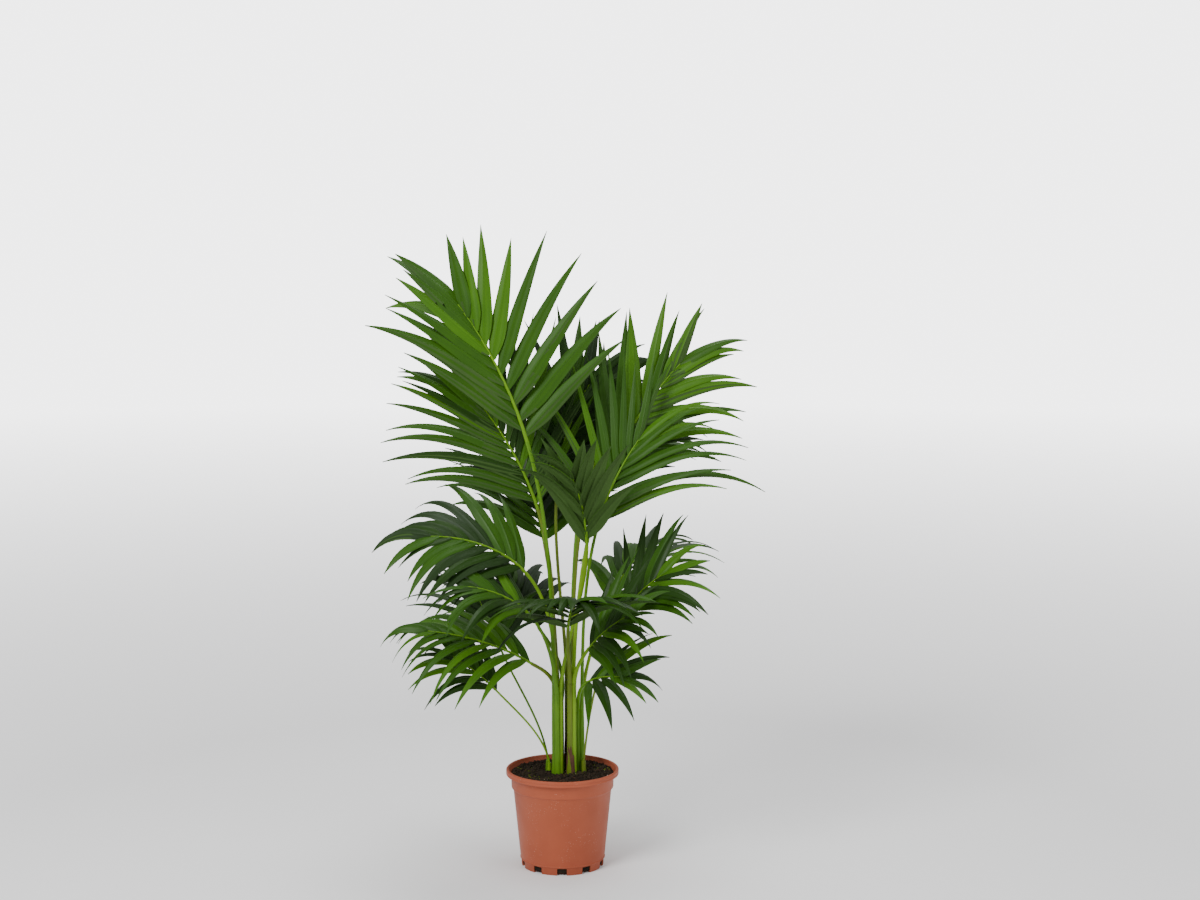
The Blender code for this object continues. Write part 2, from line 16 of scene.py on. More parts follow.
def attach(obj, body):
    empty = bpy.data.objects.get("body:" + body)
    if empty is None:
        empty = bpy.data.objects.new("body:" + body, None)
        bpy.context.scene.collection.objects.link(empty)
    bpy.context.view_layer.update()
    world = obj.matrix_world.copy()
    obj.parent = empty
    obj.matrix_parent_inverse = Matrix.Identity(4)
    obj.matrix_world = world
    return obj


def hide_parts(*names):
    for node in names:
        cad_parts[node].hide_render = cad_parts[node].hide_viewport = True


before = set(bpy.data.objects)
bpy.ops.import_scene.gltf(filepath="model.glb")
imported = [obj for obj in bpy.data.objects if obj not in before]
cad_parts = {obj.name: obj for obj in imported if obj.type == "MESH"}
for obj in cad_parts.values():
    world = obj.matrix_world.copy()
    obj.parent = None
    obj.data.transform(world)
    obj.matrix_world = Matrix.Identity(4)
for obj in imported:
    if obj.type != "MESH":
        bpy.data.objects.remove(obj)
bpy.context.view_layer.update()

log = logging.getLogger("kentia_palm")
UP = Vector((0.0, 0.0, 1.0))
FORWARD = Vector((0.0, 1.0, 0.0))
BODY = "root"
WELD = 0.00005
SHARP_ANGLE = math.radians(50)


class Shade(Enum):
    """The greens that leaflets are dealt from: painted sunlight, a mid green, and painted shade in deep and
    grey.
    """

    SUNLIT = "sunlit"
    MID = "mid"
    DEEP = "deep"
    SHADE = "shade"


class Light(Enum):
    """How much light a frond gets, which sets the mix of greens it is dealt."""

    # Front fronds are dealt painted sunlight, inner ones painted shade.
    FRONT = (Shade.SUNLIT, Shade.MID, Shade.MID, Shade.SUNLIT, Shade.MID)
    MIDDLE = (Shade.MID, Shade.DEEP, Shade.MID, Shade.DEEP, Shade.SUNLIT)
    INNER = (Shade.DEEP, Shade.SHADE, Shade.DEEP, Shade.MID, Shade.SHADE)


@dataclass(frozen=True)
class Stem:
    """A sheathed base: its place on the soil, its height and its radii, in metres."""

    place: tuple[float, float]
    height: float
    foot_radius: float
    top_radius: float


@dataclass(frozen=True)
class Frond:
    """One frond: its stem and seat, where its blade starts and ends, and the lie of its leaflets."""

    stem: int
    seat: float
    neck: tuple[float, float, float]
    tip: tuple[float, float, float]
    faces: tuple[float, float]
    pairs: int
    length: float
    width: float
    spread: float
    sag: float
    stalk: float
    slew: float = 0.0
    light: Light = Light.MIDDLE


STEMS = (
    Stem((-0.009, -0.017), 0.150, 0.0115, 0.0088),
    Stem((0.017, -0.014), 0.170, 0.0110, 0.0085),
    Stem((0.031, 0.006), 0.115, 0.0105, 0.0085),
    Stem((-0.008, 0.016), 0.130, 0.0115, 0.0090),
    Stem((0.013, 0.026), 0.150, 0.0115, 0.0090),
    Stem((-0.024, -0.006), 0.018, 0.0040, 0.0032),
    Stem((-0.027, 0.005), 0.020, 0.0042, 0.0034),
    Stem((0.040, -0.008), 0.022, 0.0042, 0.0034),
)

# Angles are in degrees, anticlockwise from +X seen from above, and the second is above the horizon
FRONDS = (
    # top left, the broad one in front
    Frond(0, 180, (-0.062, -0.045, 0.800), (-0.188, -0.015, 1.048), (275, 15),
          8, 0.275, 0.029, 48, 0.50, 0.0036, 14, light=Light.FRONT),
    # upper left, behind it
    Frond(3, 180, (-0.045, 0.035, 0.665), (-0.165, 0.045, 0.875), (268, 22),
          11, 0.275, 0.020, 47, 0.65, 0.0032),
    # top right
    Frond(1, 60, (0.076, 0.030, 0.710), (0.218, 0.045, 0.935), (270, 15),
          8, 0.240, 0.024, 40, 0.90, 0.0032, 8, light=Light.FRONT),
    # right, narrow arching leaflets
    Frond(2, 330, (0.066, -0.030, 0.645), (0.140, -0.015, 0.800), (268, 22),
          7, 0.280, 0.016, 46, 0.95, 0.0030, light=Light.FRONT),
    # upper middle, behind
    Frond(4, 150, (-0.005, 0.085, 0.745), (0.050, 0.125, 0.890), (270, 15),
          7, 0.235, 0.026, 46, 0.85, 0.0030, light=Light.INNER),
    # left, dark with painted shade, and arching
    Frond(3, 270, (-0.066, -0.020, 0.555), (-0.238, -0.050, 0.628), (290, 50),
          7, 0.200, 0.025, 48, 1.45, 0.0030, light=Light.INNER),
    # left, lower, in front
    Frond(0, 270, (-0.060, -0.075, 0.490), (-0.176, -0.118, 0.548), (290, 65),
          7, 0.185, 0.022, 48, 1.45, 0.0028),
    # left, arching low
    Frond(0, 90, (-0.052, -0.050, 0.390), (-0.242, -0.085, 0.460), (290, 58),
          7, 0.185, 0.020, 48, 1.75, 0.0026, light=Light.FRONT),
    # lowest on the left, on a thin stalk
    Frond(5, 0, (-0.119, -0.030, 0.335), (-0.200, -0.045, 0.405), (300, 50),
          5, 0.160, 0.019, 42, 1.30, 0.0019),
    # left, behind, on a thin stalk
    Frond(6, 0, (-0.115, 0.035, 0.400), (-0.165, 0.090, 0.500), (290, 40),
          6, 0.180, 0.021, 50, 1.05, 0.0020, light=Light.INNER),
    # right, on a thin stalk
    Frond(7, 0, (0.118, -0.020, 0.485), (0.195, -0.045, 0.562), (255, 50),
          6, 0.180, 0.020, 48, 1.10, 0.0020),
    # right, lower, in front
    Frond(1, 330, (0.048, -0.060, 0.420), (0.115, -0.110, 0.490), (255, 52),
          6, 0.170, 0.019, 50, 1.00, 0.0026),
    # lowest on the right, a small fan
    Frond(2, 240, (0.046, -0.065, 0.360), (0.105, -0.105, 0.380), (250, 55),
          4, 0.160, 0.020, 50, 0.85, 0.0024),
    # towards the front, low
    Frond(1, 240, (0.012, -0.070, 0.460), (0.028, -0.190, 0.535), (90, 60),
          7, 0.180, 0.028, 60, 1.15, 0.0030, light=Light.INNER),
    # towards the front, half way up
    Frond(0, 0, (0.046, -0.058, 0.612), (0.022, -0.095, 0.738), (80, 30),
          5, 0.175, 0.028, 32, 0.90, 0.0030),
    # back, high
    Frond(4, 60, (0.030, 0.100, 0.660), (0.065, 0.215, 0.830), (255, 50),
          8, 0.240, 0.027, 50, 1.00, 0.0030, light=Light.INNER),
    # back, left of the middle
    Frond(3, 90, (-0.035, 0.100, 0.590), (-0.085, 0.225, 0.720), (290, 55),
          8, 0.230, 0.026, 50, 1.05, 0.0030, light=Light.INNER),
    # back, low on the right
    Frond(2, 60, (0.085, 0.075, 0.480), (0.160, 0.170, 0.570), (225, 60),
          7, 0.200, 0.023, 50, 1.15, 0.0028),
    # back, low on the left
    Frond(3, 0, (-0.045, 0.085, 0.430), (-0.115, 0.185, 0.520), (300, 60),
          7, 0.190, 0.023, 50, 1.15, 0.0028, light=Light.INNER),
    # upper right, behind
    Frond(4, 330, (0.045, 0.075, 0.690), (0.105, 0.120, 0.840), (265, 20),
          7, 0.235, 0.026, 46, 0.90, 0.0030, light=Light.INNER),
)

# Degrees wider, degrees raised, share of its sag and share of its length, tried in turn
NUDGES = (
    (0, 0, 1.0, 1.0),
    (4, 5, 0.8, 1.0),
    (-5, 8, 0.6, 1.0),
    (6, -6, 1.3, 1.0),
    (-8, -4, 1.5, 0.95),
    (8, 14, 0.4, 0.95),
    (-10, 16, 0.3, 0.9),
    (10, -14, 1.8, 0.9),
    (0, 22, 0.4, 0.85),
    (0, -20, 1.6, 0.8),
    (-12, 6, 0.6, 0.7),
    (8, 6, 0.6, 0.62),
    (0, 0, 1.0, 0.55),
)

# How far a stalk leans aside to pass others, and in how many directions that is tried
SWAYS = ((0.0, 1), (0.004, 8), (0.008, 8), (0.012, 12), (0.018, 12), (0.026, 12))

# Degrees wider, degrees raised, shares of length, width and sag, degrees of twist and share of bend
DIFFERENCES = ((-4.0, 4.0), (-3.0, 5.0), (0.90, 1.08), (0.85, 1.10), (0.70, 1.35), (-32.0, 32.0), (-0.06, 0.06))


class Rib:
    """The line of a frond's stalk and midrib, from its seat through the neck to the tip."""

    def __init__(self, frond: Frond, seat: Vector, sway: Vector) -> None:
        """Work out the end tangents.

        Args:
            frond: the frond's sizes.
            seat: where the stalk stands.
            sway: how far the stalk's middle leans aside.
        """
        self.seat = seat
        self.neck = Vector(frond.neck)
        self.tip = Vector(frond.tip)
        self.sway = sway
        low = self.neck - self.seat
        high = self.tip - self.neck
        bend = (low.normalized() + high.normalized()).normalized()
        end = (2 * high.normalized() - bend).normalized()
        self.leave = (UP * 2 + low.normalized()).normalized() * low.length
        self.stalk_end = bend * low.length
        self.rib_start = bend * high.length
        self.rib_end = end * high.length

    def stalk_point(self, u: float) -> Vector:
        """A point on the stalk, from 0 at the seat to 1 at the neck."""
        at = hermite(self.seat, self.neck, self.leave, self.stalk_end, u)
        return at + self.sway * math.sin(math.pi * u)

    def rib_point(self, u: float) -> Vector:
        """A point on the midrib, from 0 at the neck to 1 at the tip."""
        return hermite(self.neck, self.tip, self.rib_start, self.rib_end, u)

    def rib_direction(self, u: float) -> Vector:
        """The way that the midrib runs at u."""
        step = 0.02
        return (self.rib_point(min(u + step, 1.0)) - self.rib_point(max(u - step, 0.0))).normalized()


def hermite(start: Vector, end: Vector, leave: Vector, arrive: Vector, u: float) -> Vector:
    """A point on the cubic between two points.

    Args:
        start: the first point.
        end: the last point.
        leave: the tangent at the start.
        arrive: the tangent at the end.
        u: the share of the way.

    Returns:
        The point at u.
    """
    a = 2 * u**3 - 3 * u**2 + 1
    b = u**3 - 2 * u**2 + u
    c = -2 * u**3 + 3 * u**2
    d = u**3 - u**2
    return a * start + b * leave + c * end + d * arrive


@dataclass
class LeafletLine:
    """One leaflet's line: its points, the way across it at each, its widths and its place."""

    points: list[Vector]
    across: list[Vector]
    widths: list[float]
    ridge: float
    twist: float
    bend: float


@dataclass
class Growth:
    """The rule that stalks, midribs and leaflets grow by, each clear of those before it."""

    soil_top: float = 0.1755
    seat_gap: float = 0.0014
    seat_radius: float = 0.0053
    seat_stalk: float = 0.0026
    neck_gap: float = 0.0009
    tip_radius: float = 0.0010
    test_points: int = 7
    rib_points: int = 6
    test_sides: int = 6
    limb_clearance: float = 0.0013
    leaf_clearance: float = 0.0008
    root_start: float = 0.05
    tip_spread: float = 13.0
    spread_power: float = 1.5
    shingle: float = 20.0
    sag_power: float = 1.8
    root_width: float = 0.30
    rise_length: float = 0.25
    taper_power: float = 2.1
    steps: int = 16
    side_offset: float = 0.35
    thickness: float = 0.0105
    least_thickness: float = 0.0018
    base_length: float = 0.72
    middle_length: float = 0.28
    middle_stretch: float = 1.15
    middle_start: float = 0.12
    tip_loss: float = 0.16
    base_breadth: float = 0.85
    breadth_gain: float = 0.30
    more_leaflets: float = 1.25
    narrower: float = 1.0
    ridge_loss: float = 0.5
    whole: tuple[int, ...] = (0, 4, 10, 16)
    free: tuple[int, ...] = (3, 5, 10, 16)
    seed: int = 11

    def seat_of(self, frond: Frond) -> Vector:
        """The point on its stem's top where a frond's stalk stands.

        Args:
            frond: the frond's sizes.

        Returns:
            The point.
        """
        stem = STEMS[frond.stem]
        shared = sum(other.stem == frond.stem for other in FRONDS) > 1
        reach = self.seat_radius if shared else 0.0
        angle = math.radians(frond.seat)
        x = stem.place[0] + reach * math.cos(angle)
        y = stem.place[1] + reach * math.sin(angle)
        return Vector((x, y, self.soil_top + stem.height + self.seat_gap))

    def stalk_line(self, rib: Rib, frond: Frond, count: int) -> tuple[list[Vector], list[float]]:
        """Points and radii of a stalk, which ends just short of the neck.

        Args:
            rib: the frond's line.
            frond: the frond's sizes.
            count: how many points.

        Returns:
            The points and their radii.
        """
        end = 1.0 - self.neck_gap / (rib.neck - rib.seat).length
        shares = [i / (count - 1) for i in range(count)]
        points = [rib.stalk_point(end * share) for share in shares]
        foot = min(frond.stalk, self.seat_stalk)
        radii = [foot + (frond.stalk - foot) * share**0.5 for share in shares]
        return points, radii

    def rib_line(self, rib: Rib, frond: Frond, count: int) -> tuple[list[Vector], list[float]]:
        """Points and radii of a midrib, from the neck to the tip.

        Args:
            rib: the frond's line.
            frond: the frond's sizes.
            count: how many points.

        Returns:
            The points and their radii.
        """
        shares = [i / (count - 1) for i in range(count)]
        drop = frond.stalk - self.tip_radius
        return [rib.rib_point(share) for share in shares], [self.tip_radius + drop * (1 - s) for s in shares]

    def tube_tree(self, points: list[Vector], radii: list[float], extra: float) -> BVHTree:
        """A search tree of a six-sided tube.

        Args:
            points: the line that the tube follows.
            radii: its radius at each point.
            extra: how much wider the tested tube is.

        Returns:
            The search tree.
        """
        corners = []
        faces = []
        sides = self.test_sides
        for i, (point, radius) in enumerate(zip(points, radii)):
            along = (points[min(i + 1, len(points) - 1)] - points[max(i - 1, 0)]).normalized()
            across = along.cross(FORWARD).normalized()
            other = along.cross(across)
            for j in range(sides):
                angle = math.tau * j / sides
                out = across * math.cos(angle) + other * math.sin(angle)
                corners.append(point + out * (radius + extra))
                if i:
                    first = sides * (i - 1)
                    k = (j + 1) % sides
                    faces.append((first + j, first + k, first + k + sides, first + j + sides))
        return BVHTree.FromPolygons(corners, faces)

    def stem_tree(self, stem: Stem) -> BVHTree:
        """A search tree of the column round a stem."""
        foot = Vector((*stem.place, self.soil_top))
        return self.tube_tree([foot, foot + UP * stem.height], [stem.foot_radius, stem.top_radius], 0.0)

    def settle_ribs(self) -> list[Rib]:
        """Lay out every stalk and midrib, each swayed just enough to pass those before it.

        Returns:
            The line of each frond.
        """
        ribs = []
        stems = [self.stem_tree(stem) for stem in STEMS]
        taken: list[BVHTree] = []
        for frond in FRONDS:
            other_stems = stems[: frond.stem] + stems[frond.stem + 1 :]
            rib = self.clear_rib(frond, taken + other_stems)
            ribs.append(rib)
            taken.append(self.tube_tree(*self.stalk_line(rib, frond, self.test_points), 0.0))
            taken.append(self.tube_tree(*self.rib_line(rib, frond, self.rib_points), 0.0))
        return ribs

    def clear_rib(self, frond: Frond, taken: list[BVHTree]) -> Rib:
        """The first sway of a frond's stalk that meets nothing.

        Args:
            frond: the frond's sizes.
            taken: what it keeps clear of.

        Returns:
            The frond's line.
        """
        seat = self.seat_of(frond)
        for reach, ways in SWAYS:
            for way in range(ways):
                angle = math.tau * way / ways
                rib = Rib(frond, seat, Vector((math.cos(angle), math.sin(angle), 0.0)) * reach)
                lines = (
                    self.stalk_line(rib, frond, self.test_points),
                    self.rib_line(rib, frond, self.rib_points),
                )
                tests = [self.tube_tree(*line, self.limb_clearance) for line in lines]
                if not any(test.overlap(other) for test in tests for other in taken):
                    return rib
        return Rib(frond, seat, Vector((0.0, 0.0, 0.0)))

    def outline(self, share: float) -> float:
        """How wide a leaflet is at a share of its length, as a share of its full width."""
        rise = math.sin(min(share / self.rise_length, 1.0) * math.pi / 2)
        return (self.root_width + (1.0 - self.root_width) * rise) * (1.0 - share**self.taper_power)

    def leaflet_along(self, root: Vector, along: Vector, across: Vector, size: tuple,
                      sag: float) -> LeafletLine:
        """The leaflet that leaves a root along a direction and sags under its own weight.

        Args:
            root: where it starts.
            along: the way that it leaves.
            across: the way across it there.
            size: its length and its width.
            sag: how far it bends down.

        Returns:
            The leaflet's line.
        """
        length, width = size
        level = math.hypot(along.x, along.y)
        at = root.copy()
        points = [at.copy()]
        sides = [across]
        for i in range(self.steps):
            share = (i + 0.5) / self.steps
            way = (along - UP * sag * level * share**self.sag_power).normalized()
            at = at + way * (length / self.steps)
            points.append(at.copy())
            sides.append((across - way * across.dot(way)).normalized())
        widths = [width * self.outline(i / self.steps) for i in range(self.steps + 1)]
        ridge = max(length * self.thickness, self.least_thickness)
        return LeafletLine(points, sides, widths, ridge, 0.0, 0.0)

    def leaflet_tree(self, line: LeafletLine, extra: float, stations: tuple[int, ...]) -> BVHTree:
        """A search tree of a leaflet's three-sided solid.

        Args:
            line: the leaflet's line.
            extra: how much wider the tested solid is.
            stations: the steps along it that are joined.

        Returns:
            The search tree.
        """
        corners = []
        faces = [(0, 1, 2)]
        for station in stations[:-1]:
            point = line.points[station]
            across = line.across[station]
            before = line.points[max(station - 1, 0)]
            along = (line.points[min(station + 1, self.steps)] - before).normalized()
            normal = across.cross(along)
            half = line.widths[station] / 2 + extra
            ridge = line.ridge * (1.0 - self.ridge_loss * station / self.steps)
            corners.append(point - across * half - normal * extra)
            corners.append(point + across * half - normal * extra)
            corners.append(point + normal * (ridge + extra))
        corners.append(line.points[-1])
        for i in range(len(stations) - 2):
            for j in range(3):
                k = (j + 1) % 3
                faces.append((3 * i + j, 3 * i + 3 + j, 3 * i + 3 + k, 3 * i + k))
        last = 3 * (len(stations) - 2)
        for j in range(3):
            faces.append((last + j, last + 3, last + (j + 1) % 3))
        return BVHTree.FromPolygons(corners, faces)

    def grow_leaflet(self, frond: Frond, rib: Rib, u: float, side: int, nudge: tuple,
                     draw: tuple) -> LeafletLine:
        """The leaflet at u on one side of a midrib.

        Args:
            frond: the frond's sizes.
            rib: the frond's line.
            u: how far up the midrib.
            side: 1 on the right, -1 on the left.
            nudge: what it tries to pass its neighbours.
            draw: its own small differences.

        Returns:
            The leaflet's line.
        """
        wider, raised, sag_share, length_part = nudge
        heading, height = (math.radians(angle) for angle in frond.faces)
        flat = Vector((math.cos(heading), math.sin(heading), 0.0)) * math.cos(height)
        faces = flat + UP * math.sin(height)
        along = rib.rib_direction(u)
        normal = (faces - along * faces.dot(along)).normalized()
        right = along.cross(normal)
        opening = frond.spread + (self.tip_spread - frond.spread) * u**self.spread_power
        yaw = math.radians(opening + frond.slew * side * (1.0 - u) + wider + draw[0])
        lift = math.radians(raised + draw[1])
        out = right * (side * math.cos(lift)) + normal * math.sin(lift)
        way = (along * math.cos(yaw) + out * math.sin(yaw)).normalized()
        level = way.cross(normal).normalized()
        tip_up = math.radians(self.shingle) * side
        across = level * math.cos(tip_up) + level.cross(way) * math.sin(tip_up)
        middle = math.sin(math.pi * min(u * self.middle_stretch + self.middle_start, 1.0))
        share = self.base_length + self.middle_length * middle - self.tip_loss * u**4
        breadth = frond.width * self.narrower * (self.base_breadth + self.breadth_gain * share)
        size = (frond.length * share * length_part * draw[2], breadth * draw[3])
        line = self.leaflet_along(rib.rib_point(u), way, across, size, frond.sag * sag_share * draw[4])
        line.twist = math.radians(draw[5])
        line.bend = draw[6] * size[0]
        return line

    def own_differences(self, dice: random.Random) -> tuple:
        """What a leaflet differs by, drawn in the order of DIFFERENCES."""
        return tuple(dice.uniform(*span) for span in DIFFERENCES)

    def slots_of(self, frond: Frond) -> list[tuple[float, int]]:
        """The places of a frond's leaflets: how far up the midrib, and on which side.

        Args:
            frond: the frond's sizes.

        Returns:
            The places.
        """
        places = []
        pairs = round(frond.pairs * self.more_leaflets)
        room = (1.0 - self.root_start) / (pairs - 1)
        for i in range(pairs):
            u = self.root_start + room * i
            places.append((min(u, 1.0), 1))
            places.append((min(u + room * self.side_offset, 1.0), -1))
        return places

    def grow_blade(self, frond: Frond, rib: Rib, dice: random.Random,
                   taken: list[BVHTree]) -> list[LeafletLine]:
        """The leaflets of a frond that meet nothing else.

        Args:
            frond: the frond's sizes.
            rib: the frond's line.
            dice: a seeded source of small differences.
            taken: what the leaflets keep clear of.

        Returns:
            The leaflets' lines.
        """
        leaflets = []
        siblings: list[BVHTree] = []
        for u, side in self.slots_of(frond):
            draw = self.own_differences(dice)
            for nudge in NUDGES:
                line = self.grow_leaflet(frond, rib, u, side, nudge, draw)
                whole = self.leaflet_tree(line, self.leaf_clearance, self.whole)
                free = self.leaflet_tree(line, 0.0, self.free)
                meets = any(whole.overlap(other) for other in taken)
                if meets or any(free.overlap(other) for other in siblings):
                    continue
                leaflets.append(line)
                siblings.append(free)
                break
        return leaflets

    def grow(self) -> list[tuple[Frond, Rib, list[LeafletLine]]]:
        """Every frond with its line and its leaflets.

        Returns:
            The fronds in order.
        """
        ribs = self.settle_ribs()
        stems = [self.stem_tree(stem) for stem in STEMS]
        pairs = list(zip(ribs, FRONDS))
        stalks = [self.tube_tree(*self.stalk_line(rib, frond, self.test_points), 0.0) for rib, frond in pairs]
        midribs = [self.tube_tree(*self.rib_line(rib, frond, self.rib_points), 0.0) for rib, frond in pairs]
        blades: list[BVHTree] = []
        grown = []
        for i, (rib, frond) in enumerate(pairs):
            others = midribs[:i] + midribs[i + 1 :]
            dice = random.Random(self.seed + i)
            leaflets = self.grow_blade(frond, rib, dice, stems + stalks + others + blades)
            blades += [self.leaflet_tree(line, 0.0, self.whole) for line in leaflets]
            grown.append((frond, rib, leaflets))
        return grown


def add_node(tree: bpy.types.NodeTree, kind: str, inputs: dict, **settings) -> bpy.types.Node:
    """Make a shader node.

    Args:
        tree: the nodes that it joins.
        kind: its type, without the word ShaderNode.
        inputs: a constant or a source socket for each of its inputs.
        settings: its own properties, which are set first.

    Returns:
        The node.
    """
    node = tree.nodes.new(f"ShaderNode{kind}")
    for name, value in settings.items():
        setattr(node, name, value)
    for socket, value in inputs.items():
        if isinstance(value, bpy.types.NodeSocket):
            tree.links.new(value, node.inputs[socket])
        else:
            node.inputs[socket].default_value = value
    return node


def add_noise(tree: bpy.types.NodeTree, vector: bpy.types.NodeSocket, scale, detail: float,
              rough: float) -> bpy.types.NodeSocket:
    """Add a noise texture.

    Args:
        tree: the nodes that it joins.
        vector: the coordinates.
        scale: its scale, as a number or a socket.
        detail: its detail.
        rough: its roughness.

    Returns:
        The socket of its strength.
    """
    inputs = {"Vector": vector, "Scale": scale, "Detail": detail, "Roughness": rough}
    return add_node(tree, "TexNoise", inputs).outputs["Fac"]


def add_range(tree: bpy.types.NodeTree, value: bpy.types.NodeSocket, span: tuple[float, float],
              result: tuple[float, float] = (0.0, 1.0)) -> bpy.types.NodeSocket:
    """Add a clamped Map Range node.

    Args:
        tree: the nodes that it joins.
        value: the socket that it maps.
        span: the limits of the value.
        result: what those limits become.

    Returns:
        The socket of the result.
    """
    inputs = {"Value": value, "From Min": span[0], "From Max": span[1]}
    inputs |= {"To Min": result[0], "To Max": result[1]}
    return add_node(tree, "MapRange", inputs).outputs["Result"]


def add_math(tree: bpy.types.NodeTree, operation: str, *values) -> bpy.types.NodeSocket:
    """Add a Math node and give the socket of its result."""
    return add_node(tree, "Math", dict(enumerate(values)), operation=operation).outputs["Value"]


def add_mix(tree: bpy.types.NodeTree, mask: bpy.types.NodeSocket, low, high) -> bpy.types.NodeSocket:
    """Mix two colours by a mask and give the socket of the result."""
    inputs = {"Factor": mask, "A": low, "B": high}
    return add_node(tree, "Mix", inputs, data_type="RGBA").outputs["Result"]


def new_group(name: str, inputs: dict[str, float]) -> bpy.types.ShaderNodeTree:
    """Make a shader node group that gives a mask and a height.

    Args:
        name: the group's name.
        inputs: the name and value of each float input.

    Returns:
        The group, with its input and output nodes named In and Out.
    """
    group = bpy.data.node_groups.new(name, "ShaderNodeTree")
    group.interface.new_socket("Vector", in_out="INPUT", socket_type="NodeSocketVector")
    for label, value in inputs.items():
        socket = group.interface.new_socket(label, in_out="INPUT", socket_type="NodeSocketFloat")
        socket.default_value = value
    for label in ("Mask", "Height"):
        group.interface.new_socket(label, in_out="OUTPUT", socket_type="NodeSocketFloat")
    group.nodes.new("NodeGroupInput").name = "In"
    group.nodes.new("NodeGroupOutput").name = "Out"
    return group


def close_group(group: bpy.types.ShaderNodeTree, mask: bpy.types.NodeSocket,
                height: bpy.types.NodeSocket) -> bpy.types.ShaderNodeTree:
    """Link a group's mask and height to its output node.

    Args:
        group: the group.
        mask: the socket of its mask.
        height: the socket of its height.

    Returns:
        The group.
    """
    leave = group.nodes["Out"].inputs
    group.links.new(mask, leave["Mask"])
    group.links.new(height, leave["Height"])
    return group


def mottle_group() -> bpy.types.ShaderNodeTree:
    """Soft mottling at a given scale, as a mask and a fine height.

    Returns:
        The group.
    """
    group = new_group("mottle", {"Scale": 20.0, "Fine Scale": 400.0})
    entry = group.nodes["In"].outputs
    broad = add_noise(group, entry["Vector"], entry["Scale"], 4.0, 0.55)
    fine = add_noise(group, entry["Vector"], entry["Fine Scale"], 3.0, 0.6)
    return close_group(group, add_range(group, broad, (0.3, 0.7)), fine)


def streak_group() -> bpy.types.ShaderNodeTree:
    """Fine streaks that run along a piece's own V direction, as on leaves and sheaths.

    Returns:
        The group.
    """
    group = new_group("streaks", {"Across": 40.0, "Along": 3.0})
    entry = group.nodes["In"].outputs
    scale = add_node(group, "CombineXYZ", {"X": entry["Across"], "Y": entry["Along"]}).outputs["Vector"]
    scaled = add_node(group, "VectorMath", {0: entry["Vector"], 1: scale}, operation="MULTIPLY")
    streaks = add_noise(group, scaled.outputs["Vector"], 1.0, 3.0, 0.6)
    return close_group(group, add_range(group, streaks, (0.32, 0.68)), streaks)


class Effects:
    """The node groups that several finishes share, each built once."""

    def __init__(self) -> None:
        """Build the groups."""
        self.mottle = mottle_group()
        self.streaks = streak_group()


